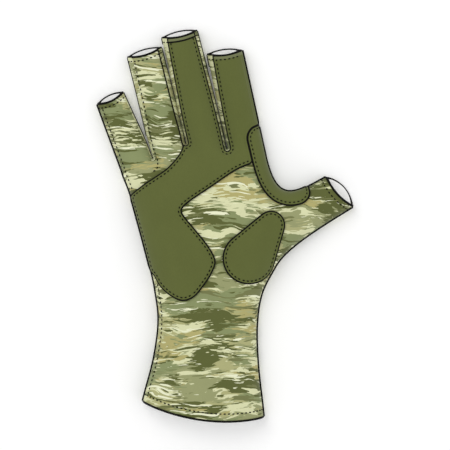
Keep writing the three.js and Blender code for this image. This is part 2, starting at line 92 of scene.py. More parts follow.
# Sections across the hand: width, ulnar edge (up, out), thumb edge (up, out), rows to the next section
HEM_UP = CUFF_HEM / BODY_LENGTH
SECTIONS = [
    (CUFF_WIDTH, 0.076, -0.522, 0.018, 0.468, 6),
    (CUFF_WIDTH, 0.076 + HEM_UP, -0.498, 0.018 + HEM_UP, 0.458, 18),
    (WRIST_WIDTH, 0.240, -0.530, 0.215, 0.520, 20),
    (WRIST_WIDTH, 0.375, -0.485, 0.360, 0.510, 17),
    (PALM_WIDTH, 0.490, -0.356, 0.478, 0.384, 15),
    (PALM_WIDTH, 0.590, -0.397, 0.573, 0.473, 30),
    (PALM_WIDTH, 0.825, -0.516, None, None, 14),
    (PALM_WIDTH, 0.914, -0.577, None, None, 5),
    (PALM_WIDTH, 0.935, -0.589, 0.990, 0.404, 0),
]
THUMB_SECTION, WEB_SECTION = 5, 6
WEB_SHARES = (0.43, 0.034, 0.0)

# Fingers: length, width, lean, lean of the open end, and the crotch on the thumb's side: along, above
FINGERS = {
    "little": (0.623, 0.80, -22.3, -24.9, 0.224, 0.057),
    "ring": (0.885, 0.99, -14.3, -16.2, 0.464, 0.138),
    "middle": (1.000, 1.00, -13.6, -12.0, 0.746, 0.074),
    "index": (0.885, 0.96, -12.0, -7.2, 1.000, 0.000),
}
DIGITS = [*FINGERS, "thumb"]
REGION = {name: k for k, name in enumerate(["body", *DIGITS])}

# The grids: cells across a finger and the thumb, rows in a hem, steps along the web's edge, and where the
# solids' own columns and the rows next to a crotch lie
FINGER_CELLS, HEM_ROWS, WEB_STEPS = 24, 4, 24
ROW_SPACING = 1.3
CROTCH_ROWS = (0.0, 0.1, 0.4, 0.9, 1.6, 2.5, CROTCH_RADIUS)
THUMB_CELLS = SECTIONS[THUMB_SECTION][-1]
COARSE_FINGER = [-1, -0.92, -0.7, -0.35, 0, 0.35, 0.7, 0.92, 1]
COARSE_THUMB = [-1, -0.86, -0.45, 0, 0.45, 0.86, 1]
SIDE_COLUMNS = (3, 29)
# How near to zero a value lies on a cut, a number above any sheet's points, the solver's two limits, and
# how many points are worked on at once
CUT_SNAP, MOST_POINTS = 0.02, 10 ** 8
SOLVED, MOST_ROUNDS, BLOCK = 1e-9, 3000, 4000

# Gussets, seen from the palm: width on the finger before the gap, at its root and its end, then the
# same on the finger after it
GUSSETS = {
    "little_ring": (0.6, 0.8, 1.3, 3.0),
    "ring_middle": (2.2, 2.2, 2.2, 4.0),
    "middle_index": (2.4, 2.9, 2.6, 3.9),
}
BACK_GUSSET = 0.9
RIM_STITCH, THUMB_STITCH, CUFF_STITCH, PATCH_STITCH = 2.5, 3.2, 4.6, 1.55
# From a seam to its stitches: at the palm's outer edge, the ring finger's strip and the back's gaps
OUTER_STITCH, STRIP_STITCH, GAP_STITCH = 2.2, 0.95, 2.5
# Stitches stay this far from an open end's own stitches, from the border of a patch and from a cord on it
STITCH_CLEAR, PATCH_CLEAR, CORD_CLEAR, STITCH_SLACK = 0.8, 1.2, 0.9, 0.4
# One stitch: its rings, and as shares of its radius how it bows, how deep it dips and how thin it ends
STITCH_ROWS, STITCH_SIDES, PITCH_STEPS = 5, 6, 8
STITCH_BOW, STITCH_DIP, STITCH_TIP = 0.9, 0.3, 0.05
CORD_SIDES, CORD_STEP, SHORTEST_RUN = 8, 0.9, 4
# The ring finger's line of stitches goes on below the crotch and hooks back, from the crotch
RING_TAIL = [(2.9, 0.5), (3.2, -2.0), (3.4, -4.2), (2.9, -6.0), (1.4, -7.6), (-0.8, -8.6)]

# Where two fingers lean on each other above their crotch: how far each stands out, and how high
LEANING = {"little": (0.75, 13.0), "ring": (0.65, 27.0), "middle": (0.6, 28.0), "index": (0.0, 1.0)}

# The palm patch's outline: shares of the palm's width across and of the body's length up
PALM_PATCH = [
    (-0.200, 1.100), (-0.160, 1.035), (-0.171, 1.003), (-0.260, 0.943), (-0.345, 0.910),
    (-0.436, 0.878), (-0.530, 0.836), (-0.640, 0.760), (-0.560, 0.600), (-0.378, 0.560),
    (-0.309, 0.504), (-0.228, 0.467), (-0.159, 0.454), (-0.089, 0.467), (-0.020, 0.510),
    (0.038, 0.560), (0.059, 0.597), (0.026, 0.640), (-0.066, 0.705), (-0.160, 0.766),
    (-0.176, 0.785), (-0.155, 0.804), (0.038, 0.877), (0.212, 0.939), (0.316, 0.962),
    (0.500, 0.990), (0.600, 1.300), (0.300, 1.600), (-0.500, 1.600), (-0.400, 1.300),
]
WEB_PATCH_WIDTH, WEB_PATCH_START, WEB_PATCH_SHARE, WEB_PATCH_ROUND = 8.6, 20.0, 0.8, 9.0
WEB_PATCH_BEYOND, PATCHES_APART = 3.3, 0.5
HEEL_PAD_RADIUS, HEEL_PAD_TIP, HEEL_PAD_LENGTH, HEEL_PAD_LEAN = 16.0, 8.6, 25.5, 34.0
HEEL_PAD_WIDE = (0.291 * PALM_WIDTH, 0.609 * BODY_LENGTH)
PATCH_STEPS, PAD_STEPS = 8, 24
# A patch's section: how far its border rounds off, the depth and width of the stitched groove, the crown's
# height, start and reach, and where it is cut so that these show
PATCH_ROUND, GROOVE_DEPTH, GROOVE_WIDTH = 0.9, 0.35, 0.45
CROWN_HEIGHT, CROWN_START, CROWN_REACH = 0.25, 2.5, 8.0
ROUND_CUT, GROOVE_CUTS = 0.4, (-0.4, 0, 0.4, 1)
# The least share of the rounding at a patch's border, the share of its thickness where the cloth stands
# upright, how level the cloth is where it is full, its underside's share of the gap, and the hem's blend
BORDER_SHARE, UPRIGHT_SHARE, LEVEL_NORMAL, UNDER_SHARE, HEM_BLEND = 0.15, 0.25, 0.75, 0.7, 0.5

# Cords: how far each lies over the cloth or sinks into a patch, and its share of the edging's radius. A
# gap between two fingers has two cords where it is wide enough, and one where it is narrow
RIM_LIFT, RIM_OUT = -0.3, 0.4
OUTER_LIFT, OUTER_EXTRA, OUTER_FADE, OUTER_SHARE = 0.55, 0.45, 2, 0.95
SEAM_LIFT, FOLD_LIFT, SEAM_SHARE = 0.25, 0.1, 0.8
NARROW_SHARE, ROOM_FOR_TWO, ROOM_FOR_ONE = 0.5, 1.9, 2.2
PIPING_LIFT, PIPING_SHARE, PIPING_START, PIPING_ROWS = 0.35, 1.15, 0.6, 40
CORD_SINK = 0.3
# A wall's border: how far it is drawn back, and the least squared pull, under which the border folds back
WALL_PULL, LEAST_PULL = 0.12, 0.3

# The print's layers: paint, size of its patches in millimetres, lean, and the level above which it shows
PAINTS = [
    ("khaki", (52, 18, 30), 0.0, 0.50),
    ("pale_sage", (50, 17, 30), 0.05, 0.54),
    ("tan", (46, 14, 30), -0.06, 0.592),
    ("sage", (46, 16, 30), 0.08, 0.56),
    ("olive", (48, 15, 30), -0.04, 0.573),
    ("cream", (44, 8, 24), 0.16, 0.61),
    ("dark_sage", (30, 4.2, 20), 0.10, 0.63),
    ("chalk", (34, 2.8, 20), 0.18, 0.64),
    ("olive", (26, 3.0, 20), -0.10, 0.62),
]
STREAK, STREAK_SHARE = (10, 1.4, 12), 0.36
BEND, BEND_REACH = (40, 22, 30), (20, 16, 6)
GUSSET_BARE = 0.035
KNIT_COLUMNS, KNIT_ROWS = 7.0, 9.0

# The stage: lights by place, size and power, the floor's glow and the width that the camera sees
LIGHTS = {"key": ((-0.5, 0.55, 1.1), 0.9, 4.6), "fill": ((0.8, -0.3, 0.9), 1.0, 1.8)}
FLOOR_GLOW, WORLD_LIGHT, FLOOR_DROP = 0.07, 0.74, 0.0005
VIEW_WIDTH, LENS, SENSOR = 0.29, 200, 36


# ---------------------------------------------------------------- curves in the flat pattern

def heading(lean):
    """The direction that leans by an angle from +y towards the thumb: its sine and its cosine."""
    return np.array([math.sin(math.radians(lean)), math.cos(math.radians(lean))])


def smooth(share):
    """A share from 0 to 1 that starts and ends level: three times its square less twice its cube."""
    share = np.clip(share, 0.0, 1.0)
    return share * share * (3 - 2 * share)


def lerp(start, end, share):
    """The point at a share of the way from start to end."""
    share = np.asarray(share, float)
    if np.ndim(start) and np.ndim(share):
        share = share[..., None]
    return start + (end - start) * share


def hermite(start, end, slope, next_slope, t):
    """The cubic between two points with the given slopes at them, at a share of the way."""
    return ((2 * start - 2 * end + slope + next_slope) * t ** 3
            + (3 * end - 3 * start - 2 * slope - next_slope) * t ** 2 + slope * t + start)


def spline(knots, share):
    """The cubic through the knots, with half the chord between two neighbours as its slope."""
    knots = np.asarray(knots, float)
    last = len(knots) - 1
    station = np.atleast_1d(np.asarray(share, float)) * last
    cell = np.clip(np.floor(station).astype(int), 0, last - 1)
    t = (station - cell)[:, None]
    before, start, end, after = (knots[np.clip(cell + k, 0, last)] for k in (-1, 0, 1, 2))
    return hermite(start, end, (end - before) / 2, (after - start) / 2, t)


def bezier(handles, share):
    """The cubic through the first and last of four handles, by Bernstein's weights."""
    a, b, c, d = (np.asarray(handle, float) for handle in handles)
    t = np.atleast_1d(np.asarray(share, float))[:, None]
    return a * (1 - t) ** 3 + 3 * b * t * (1 - t) ** 2 + 3 * c * t * t * (1 - t) + d * t ** 3


def closed_curve(knots, steps):
    """A closed curve through the knots, each stretch in steps equal parts, with knots spaced by the
    square root of their distance, so that it neither loops nor overshoots."""
    knots = np.asarray(knots, float)
    p0, p1, p2, p3 = (np.roll(knots, shift, 0)[:, None] for shift in (1, 0, -1, -2))
    d1, d2, d3 = (np.sqrt(np.linalg.norm(b - a, axis=-1, keepdims=True))
                  for a, b in ((p0, p1), (p1, p2), (p2, p3)))
    m1 = ((p1 - p0) / d1 - (p2 - p0) / (d1 + d2) + (p2 - p1) / d2) * d2
    m2 = ((p2 - p1) / d2 - (p3 - p1) / (d2 + d3) + (p3 - p2) / d3) * d2
    return hermite(p1, p2, m1, m2, (np.arange(steps) / steps)[None, :, None]).reshape(-1, 2)


def resample(path, spacing, closed=False):
    """Evenly spaced rows of a path. The first three columns are its place; the others go with it."""
    if closed:
        path = np.vstack([path, path[:1]])
    run = np.concatenate([[0], np.cumsum(np.linalg.norm(np.diff(path[:, :3], axis=0), axis=1))])
    count = max(2, int(round(run[-1] / spacing)))
    at = np.linspace(0, run[-1], count + 1)
    if closed:
        at = at[:-1]
    return np.stack([np.interp(at, run, column) for column in path.T], 1)


def away(points, path, closed=False):
    """The distance of each point from a path: the least over its straight pieces, where a point's foot
    on a piece is its projection, kept between the two ends."""
    start = path if closed else path[:-1]
    step = (np.roll(path, -1, 0) if closed else path[1:]) - start
    length = np.maximum((step ** 2).sum(1), 1e-12)
    nearest = np.empty(len(points))
    for first in range(0, len(points), BLOCK):
        block = slice(first, first + BLOCK)
        offset = points[block, None] - start
        foot = np.clip((offset * step).sum(2) / length, 0, 1)
        nearest[block] = np.sqrt(((offset - foot[..., None] * step) ** 2).sum(2).min(1))
    return nearest


def inside(points, outline):
    """Signed distance to a closed outline, positive inside. A point is inside where a ray from it
    along x crosses the outline an odd number of times."""
    x0, y0 = outline.T
    x1, y1 = np.roll(outline, -1, 0).T
    y = points[:, 1:2]
    spans = (y0 > y) != (y1 > y)
    rise = np.where(y1 == y0, 1, y1 - y0)
    crossing = x0 + (y - y0) / rise * (x1 - x0)
    odd = (spans & (points[:, :1] < crossing)).sum(1) % 2 == 1
    return np.where(odd, 1, -1) * away(points, outline, closed=True)


# ---------------------------------------------------------------- the glove's surface

def pattern():
    """The lines of the flat pattern: crotches, the corners of each open end, and the hand's edges."""
    edge = lambda row, up, out: (row[out] * row[0], row[up] * BODY_LENGTH)
    ulnar = np.array([edge(row, 1, 2) for row in SECTIONS])
    wrist = np.array([edge(row, 3, 4) for row in SECTIONS[:THUMB_SECTION + 1]])
    ulnar_end, index_end = ulnar[-1], np.array(edge(SECTIONS[-1], 3, 4))
    line = index_end - ulnar_end
    off = np.array([-line[1], line[0]])
    crotches = np.array([ulnar_end] + [ulnar_end + line * along + off * above
                                       for *_, along, above in FINGERS.values()])
    ends = {}
    for k, (name, (length, width, lean, rim_lean, *_)) in enumerate(FINGERS.items()):
        facing = heading(rim_lean)
        side = np.array([facing[1], -facing[0]]) * width * FINGER_WIDTH / 2
        end = (crotches[k] + crotches[k + 1]) / 2 + heading(lean) * length * FINGER_LENGTH
        ends[name] = (end - side, end + side, facing)
    facing = heading(THUMB_RIM_LEAN)
    side = np.array([-facing[1], facing[0]]) * THUMB_WIDTH / 2
    end = wrist[-1] + heading(THUMB_LEAN) * THUMB_REACH
    ends["thumb"] = (end - side, end + side, facing)
    index_edge = index_end - ends["index"][1]
    index_edge /= np.linalg.norm(index_edge)
    run = wrist[-1] - wrist[-2]
    web = (index_end, index_end + index_edge * WEB_DROP,
           ends["thumb"][1] - heading(WEB_THUMB_LEAN) * WEB_REACH, ends["thumb"][1])
    heel = (wrist[-1], wrist[-1] + run / np.linalg.norm(run) * HEEL_DROP,
            ends["thumb"][0] - heading(HEEL_THUMB_LEAN) * HEEL_REACH, ends["thumb"][0])
    web_run = bezier(web, np.linspace(0, 1, WEB_STEPS + 1))
    web_path = np.vstack([index_end - index_edge * WEB_PATCH_START,
                          web_run[:int(WEB_PATCH_SHARE * WEB_STEPS) + 1]])
    return {"ulnar": ulnar, "wrist": wrist, "line": line, "crotches": crotches, "ends": ends,
            "web": web, "heel": heel, "web_path": web_path}


def digit_rows(length, hem, root=()):
    """Shares of a digit's length at which its rows lie: the given short ones, even ones, the hem's."""
    start = root[-1] if len(root) else 0.0
    even = np.linspace(start, length - hem, int((length - hem - start) / ROW_SPACING) + 1)
    last = np.linspace(length - hem, length, HEM_ROWS + 1)[1:]
    return np.concatenate([root[:-1], even, last]) / length


def swell(plan, quads, outline):
    """How full the glove is at each point of its pattern, from 0 at the outline to 1 in the palm. It is
    the square root of a membrane's height, which is held at 0 on the outline and pulled to 1 within
    the billow's distance; conjugate gradients solve it, with stiffness from each triangle's angles."""
    a, b, c, d = quads.T
    corners = np.concatenate([np.stack(t, 1) for t in ((a, b, c), (a, c, d), (a, b, d), (b, c, d))])
    count = len(plan)
    area = np.zeros(count)
    first, second, weight = [], [], []
    for k in range(3):
        apex, one, two = (corners[:, (k + step) % 3] for step in range(3))
        u, v = plan[one] - plan[apex], plan[two] - plan[apex]
        size = np.abs(u[:, 0] * v[:, 1] - u[:, 1] * v[:, 0])
        first.append(one)
        second.append(two)
        weight.append((u * v).sum(1) / size / 4)
        area += np.bincount(apex, size / 12, count)
    i, j, w = (np.concatenate(part) for part in (first, second, weight))
    load = area / BILLOW ** 2
    free = ~outline

    def stiffness(x):
        step = w * (x[i] - x[j])
        return np.where(free, np.bincount(i, step, count) - np.bincount(j, step, count) + load * x, 0)

    diagonal = np.bincount(i, w, count) + np.bincount(j, w, count) + load
    level = np.zeros(count)
    rest = np.where(free, load, 0)
    ready = rest / diagonal
    way, power = ready.copy(), rest @ ready
    for _ in range(MOST_ROUNDS):
        push = stiffness(way)
        step = power / (way @ push)
        level += step * way
        rest -= step * push
        if np.abs(rest).max() < SOLVED:
            break
        ready = rest / diagonal
        power, before = rest @ ready, power
        way = ready + way * (power / before)
    return np.sqrt(np.clip(level / level.max(), 0, None))


@functools.lru_cache(maxsize=1)
def glove():
    """The glove's outer surface as triangles, in millimetres. Body, fingers and thumb are grids of the
    flat pattern, mixed between their two edges. The palm side rises by the swelling, and the back
    sinks by a quarter sine of it to the ground, or to the web patch's thickness near that patch."""
    lines = pattern()
    ulnar, wrist, line, crotches = (lines[key] for key in ("ulnar", "wrist", "line", "crotches"))
    thumb_across = np.sin(np.linspace(-1, 1, THUMB_CELLS + 1) * np.pi / 2)
    across = np.sin(np.linspace(-1, 1, FINGER_CELLS + 1) * np.pi / 2)
    knuckle = len(SECTIONS) - 1

    stations = [k + np.arange(row[-1]) / max(1, row[-1]) for k, row in enumerate(SECTIONS[:-1])]
    thumb_steps = np.arange(len(COARSE_THUMB))
    stations[THUMB_SECTION] = THUMB_SECTION + (
        np.interp(thumb_across[:-1], COARSE_THUMB, thumb_steps) / thumb_steps[-1])
    station = np.concatenate([*stations, [knuckle]])
    left = spline(ulnar, station / knuckle)
    low = spline(wrist, np.minimum(station / THUMB_SECTION, 1))
    high = bezier(lines["web"], np.interp(station, range(WEB_SECTION, knuckle + 1), WEB_SHARES))
    at_thumb = np.interp((station - THUMB_SECTION) * thumb_steps[-1], thumb_steps, COARSE_THUMB)
    root = lerp(wrist[-1], bezier(lines["web"], WEB_SHARES[0])[0], (at_thumb + 1) / 2)
    right = np.where((station <= THUMB_SECTION)[:, None], low,
                     np.where((station >= WEB_SECTION)[:, None], high, root))
    up = left[:, 1] / ulnar[-1, 1]
    columns = np.arange(len(FINGERS) * FINGER_CELLS + 1)
    finger = np.minimum(columns // FINGER_CELLS, len(FINGERS) - 1)
    column = columns - finger * FINGER_CELLS
    tops = lerp(crotches[finger], crotches[finger + 1], (across[column] + 1) / 2)
    knuckle_share = (tops - ulnar[-1]) @ line / (line @ line)
    finger_steps = np.arange(len(COARSE_FINGER))
    coarse = finger_steps[-1] * finger + np.interp(across[column], COARSE_FINGER, finger_steps)
    first, last = (np.interp(c, coarse, knuckle_share) for c in SIDE_COLUMNS)
    even = first + (last - first) * (coarse - SIDE_COLUMNS[0]) / (SIDE_COLUMNS[1] - SIDE_COLUMNS[0])
    edge = (coarse <= SIDE_COLUMNS[0]) | (coarse >= SIDE_COLUMNS[1])
    cuff_share = np.where(edge, knuckle_share, even)
    share = cuff_share + (knuckle_share - cuff_share) * (smooth(up) ** 2)[:, None]
    body = left[:, None] + (right - left)[:, None] * share[..., None]
    rise = tops - lerp(ulnar[-1], ulnar[-1] + line, knuckle_share)
    body += rise * (smooth(up) ** 3)[:, None, None]
    body[..., 1] -= 4 * share * (1 - share) * CUFF_DROP * ((1 - up) ** 4)[:, None]

    on_side = np.zeros(body.shape[:2], bool)
    on_side[:, 0] = True
    on_side[:, -1] = (station <= THUMB_SECTION) | (station >= WEB_SECTION)
    on_side[-1, ::FINGER_CELLS] = True
    count = on_side.size
    plan, outline, along = [body.reshape(-1, 2)], [on_side.ravel()], [np.zeros(count)]
    shift, bulge = [np.zeros((count, 2))], [np.zeros(count)]
    grids = {"body": np.arange(count).reshape(body.shape[:2])}

    def add(name, places, shares, length, columns, roots, facing, thumb=False):
        nonlocal count
        rows = places.shape[0]
        ids = count + np.arange(places[..., 0].size).reshape(places.shape[:2])
        count += ids.size
        grids[name] = np.vstack([roots[None], ids])
        plan.append(places.reshape(-1, 2))
        outline.append(np.tile(np.abs(columns) == 1, rows))
        along.append(np.repeat(shares, len(columns)))
        drawn = smooth(np.clip(1 - (1 - shares) * length / RIM_REACH, 0, 1) ** 1.5)
        drawn = (drawn[:, None] * (1 - columns ** 2)).ravel()
        shift.append(drawn[:, None] * facing)
        bulge.append(np.full(ids.size, THUMB_RIM_BULGE if thumb else RIM_BULGE))

    for k, (name, (length, *_)) in enumerate(FINGERS.items()):
        start, end, facing = lines["ends"][name]
        length *= FINGER_LENGTH
        shares = digit_rows(length, FINGER_HEM, CROTCH_ROWS)[1:]
        opened = np.minimum(1, shares * length / CROTCH_RADIUS)
        pinch = FINGER_GAP / 2 * np.sqrt(1 - (1 - opened) ** 2) * (1 - shares)
        tip = lerp(start, end, (across + 1) / 2)
        roots = grids["body"][-1, k * FINGER_CELLS:(k + 1) * FINGER_CELLS + 1]
        places = plan[0][roots] + (tip - plan[0][roots]) * shares[:, None, None]
        inward = (start - end) / np.linalg.norm(start - end)
        draw = np.zeros((len(shares), len(across)))
        for half, side, (out, peak) in ((across < 0, k > 0, list(LEANING.values())[k - 1]),
                                        (across > 0, name != "index", LEANING[name])):
            high = shares * length / peak
            lean = out * high * np.exp(1 - high)
            draw += np.where(half, across, 0) * side * (pinch - lean)[:, None]
        places += inward * draw[..., None]
        add(name, places, shares, length, across, roots, facing)

    start, end, facing = lines["ends"]["thumb"]
    middle = (wrist[-1] + bezier(lines["web"], WEB_SHARES[0])[0]) / 2
    length = np.linalg.norm((start + end) / 2 - middle)
    shares = digit_rows(length, FINGER_HEM)[1:]
    lower = bezier(lines["heel"], shares)[:, None]
    upper = bezier(lines["web"], WEB_SHARES[0] + (1 - WEB_SHARES[0]) * shares)[:, None]
    places = lower + (upper - lower) * ((thumb_across + 1) / 2)[:, None]
    row = int(np.searchsorted(station, THUMB_SECTION))
    roots = grids["body"][row:row + THUMB_CELLS + 1, -1]
    add("thumb", places, shares, length, thumb_across, roots, facing, thumb=True)
    grids["thumb"] = grids["thumb"][:, ::-1]

    plan, outline, along = np.vstack(plan), np.concatenate(outline), np.concatenate(along)
    shift, bulge = np.vstack(shift), np.concatenate(bulge)[:, None]
    quads, region, hem = [], [], []
    for k, (name, ids) in enumerate(grids.items()):
        cells = np.stack([ids[:-1, :-1], ids[:-1, 1:], ids[1:, 1:], ids[1:, :-1]], -1)
        rows = np.repeat(np.arange(cells.shape[0]), cells.shape[1])
        quads.append(cells.reshape(-1, 4))
        region.append(np.full(rows.size, k))
        hem.append(rows < SECTIONS[0][-1] if name == "body" else rows >= cells.shape[0] - HEM_ROWS)
    quads, region, hem = np.concatenate(quads), np.concatenate(region), np.concatenate(hem)

    level = np.where(outline, 0, swell(plan, quads, outline))
    past_patch = away(plan, lines["web_path"]) - WEB_PATCH_WIDTH - LIFT_BEYOND
    lift = PATCH_LIFT * (1 - smooth(past_patch / LIFT_FADE))
    sunk = np.sin(np.minimum(1, level / FLAT_SHARE) * np.pi / 2)
    palm = np.column_stack([plan - shift * RIM_RECESS,
                            SIDE_HEIGHT + (PALM_THICKNESS - SIDE_HEIGHT) * level])
    back = np.column_stack([plan + shift * bulge, SIDE_HEIGHT + (lift - SIDE_HEIGHT) * sunk])
    back_id = np.where(outline, np.arange(count), count + np.cumsum(~outline) - 1)
    place = np.vstack([palm, back[~outline]])
    twice = lambda values: np.concatenate([values, values[~outline]])
    sides = np.concatenate([quads, back_id[quads][:, ::-1]])
    p, q, r, t = (place[sides[:, k]] for k in range(4))
    spread = np.cross(r - p, t - q)
    normal = np.stack([np.bincount(sides.ravel(), np.repeat(spread[:, k], 4), len(place))
                       for k in range(3)], 1)
    normal /= np.linalg.norm(normal, axis=1, keepdims=True)

    centre = np.mean(CAD_BOX, 0)[:2] / MM - (place.min(0) + place.max(0))[:2] / 2
    place[:, :2] += centre
    points = {"place": place, "normal": normal, "along": twice(along),
              "palm": np.concatenate([np.ones(count), np.zeros(len(place) - count)]),
              "outline": twice(outline).astype(float)}
    labels = {"side": np.tile(np.repeat([0, 1], len(quads)), 2), "region": np.tile(region, 4),
              "hem": np.tile(hem, 4)}
    tri = np.concatenate([sides[:, :3], sides[:, [0, 2, 3]]])
    sheet = Sheet(points, labels, tri)
    sheet.lines, sheet.centre, sheet.grids, sheet.plan = lines, centre, grids, plan + centre
    sheet.back = back_id
    return sheet.with_gussets()


def keys(edges, reverse=False):
    """One number for each directed edge, or for its reverse."""
    a, b = edges.T[::-1] if reverse else edges.T
    return a * MOST_POINTS + b


class Sheet:
    """A surface of triangles with values at its points and labels on its triangles."""

    def __init__(self, points, labels, tri):
        self.points, self.labels, self.tri = points, labels, tri

    @property
    def flat(self):
        """The points seen from above."""
        return self.points["place"][:, :2]

    def like(self, points, labels, tri):
        """A sheet of the same glove."""
        made = Sheet(points, labels, tri)
        made.__dict__.update({k: v for k, v in self.__dict__.items() if k not in made.__dict__})
        return made

    def only(self, chosen):
        """The chosen triangles, with all points kept."""
        return self.like(self.points, {k: v[chosen] for k, v in self.labels.items()}, self.tri[chosen])

    def cut(self, key):
        """Splits the triangles along the line where a value is zero. A new point lies on each edge that
        the line crosses, where the value falls to zero between the two ends."""
        value = self.points[key]
        value[np.abs(value) < CUT_SNAP] = 0
        tri, sign = self.tri, np.sign(value)[self.tri]
        crossed = (sign.min(1) < 0) & (sign.max(1) > 0)
        through = crossed & (sign == 0).any(1)
        lone = crossed & ~through
        turn = lambda rows, at: (tri[rows, (at + k) % 3] for k in range(3))
        rows = np.flatnonzero(lone)
        p, q, r = turn(rows, np.argmax(sign[rows] == -sign[rows].sum(1, keepdims=True), 1))
        thin = np.flatnonzero(through)
        z, s, t = turn(thin, np.argmax(sign[thin] == 0, 1))
        ends = np.concatenate([np.stack(e, 1) for e in ((p, q), (p, r), (s, t))])
        ends, back = np.unique(np.sort(ends, 1), axis=0, return_inverse=True)
        back = back.ravel() + len(value)
        share = value[ends[:, 0]] / (value[ends[:, 0]] - value[ends[:, 1]])
        points = {}
        for name, old in self.points.items():
            start, end = old[ends[:, 0]], old[ends[:, 1]]
            part = share if old.ndim == 1 else share[:, None]
            points[name] = np.concatenate([old, start + (end - start) * part])
        points[key][len(value):] = 0
        points["normal"] /= np.linalg.norm(points["normal"], axis=1, keepdims=True)
        m1, m2, m3 = np.split(back, [len(rows), 2 * len(rows)])
        made = [(p, m1, m2), (m1, q, r), (m1, r, m2), (z, s, m3), (z, m3, t)]
        source = np.concatenate([np.flatnonzero(~crossed), rows, rows, rows, thin, thin])
        tri = np.concatenate([tri[~crossed], *(np.stack(corners, 1) for corners in made)])
        return self.like(points, {k: v[source] for k, v in self.labels.items()}, tri)

    def on_palm(self, spots):
        """The path over spots in the drawing: on the triangle of the palm side that each lies in, by
        its shares of the three corners."""
        tri = self.tri[self.labels["side"] == 0]
        a, b, c = (self.flat[tri[:, k]] for k in range(3))
        twice = (b - a)[:, 0] * (c - a)[:, 1] - (b - a)[:, 1] * (c - a)[:, 0]
        x, y = spots[:, None, 0], spots[:, None, 1]
        area = lambda p, q: (p[:, 0] - x) * (q[:, 1] - y) - (p[:, 1] - y) * (q[:, 0] - x)
        shares = np.stack([area(b, c), area(c, a), area(a, b)], -1)
        shares /= np.where(twice == 0, np.inf, twice)[:, None]
        best = shares.min(-1).argmax(1)
        share = shares[np.arange(len(spots)), best]
        return np.hstack([(share[..., None] * self.points[key][tri[best]]).sum(1)
                          for key in ("place", "normal")])

    def mean(self, key):
        """A value's mean over each triangle."""
        return self.points[key][self.tri].mean(1)

    def with_gussets(self):
        """The sheet cut along the gussets' seams. A gusset holds each point whose distance from the
        gap's edge, seen from above, is under its width there."""
        sheet = self
        sheet.labels["gusset"] = np.full(len(sheet.tri), -1)
        for k, (name, widths) in enumerate(GUSSETS.items()):
            before, after = list(FINGERS)[k:k + 2]
            value = np.full(len(sheet.flat), np.inf)
            for finger, column, root, end in ((before, -1, *widths[:2]), (after, 0, *widths[2:])):
                path = sheet.plan[sheet.grids[finger][:, column]]
                width = np.where(sheet.points["palm"] > 0.5, lerp(root, end, sheet.points["along"]),
                                 BACK_GUSSET)
                value = np.minimum(value, away(sheet.flat, path) / width - 1)
            on_edge = (sheet.points["outline"] > 0.5) & (value < 0)
            sheet.points["gap"] = np.where(on_edge, -1, value)
            sheet = sheet.cut("gap")
            sheet.labels["gusset"][sheet.mean("gap") < 0] = k
        return sheet

    def edges(self):
        """The border's edges, each as two points with the sheet on its left."""
        ends = np.concatenate([self.tri[:, [k, (k + 1) % 3]] for k in range(3)])
        return ends[~np.isin(keys(ends), keys(ends, reverse=True))]

    def at_rim(self, edges):
        """Whether each edge lies on an open end of the glove."""
        return np.isin(keys(edges), keys(self.edges()))

    def path(self, run, lift=0.0, out=0.0):
        """A run of points as a path: places lifted along their normals and moved out over the border,
        which lies on the run's right, and the normals."""
        place, normal = self.points["place"][run], self.points["normal"][run]
        side = np.cross(np.gradient(place, axis=0), normal)
        side /= np.maximum(np.linalg.norm(side, axis=1, keepdims=True), 1e-9)
        return np.hstack([place + normal * lift + side * out, normal])

    def paths(self, edges, lift=0.0, out=0.0):
        """The paths along some edges, each with whether it is closed. The lift may vary over the sheet."""
        return [(self.path(run, lift[run] if np.ndim(lift) else lift, out), closed)
                for run, closed in runs(edges, len(self.flat))]

    def lines_at(self, value):
        """The lines where a value is zero, as paths, each with whether it is closed."""
        sheet = self.like({**self.points, "line": value}, self.labels, self.tri).cut("line")
        return sheet.paths(sheet.level_edges("line"))

    def level_edges(self, key):
        """The edges of the line where a value is zero, with the greater values on their left."""
        value = self.points[key]
        ends = np.concatenate([self.tri[:, [k, (k + 1) % 3, (k + 2) % 3]] for k in range(3)])
        on = (value[ends[:, 0]] == 0) & (value[ends[:, 1]] == 0) & (value[ends[:, 2]] > 0)
        return ends[on][:, :2]


def runs(edges, size):
    """Directed edges as ordered runs of points, each with whether it is closed. The run from a point
    is doubled by the run that follows it until it ends or comes round."""
    after = np.full(size + 1, size)
    after[edges[:, 0]] = edges[:, 1]
    left = np.zeros(size + 1, bool)
    left[edges[:, 0]] = True
    heads = np.setdiff1d(edges[:, 0], edges[:, 1])
    found = []
    while left.any():
        heads = heads[left[heads]]
        start = heads[0] if len(heads) else np.argmax(left)
        run, jump = np.array([start]), after
        while True:
            run = np.concatenate([run, jump[run]])
            jump = jump[jump]
            stops = np.flatnonzero((run == size) | (run == start))[1:]
            if len(stops) or len(run) > 2 * len(edges) + 2:
                break
        stop = stops[0] if len(stops) else len(run)
        closed = bool(len(stops)) and run[stop] == start
        run = run[:stop]
        left[run[:-1] if not closed else run] = False
        left[start] = False
        found.append((run, closed))
    return found


# ---------------------------------------------------------------- solids from the surface

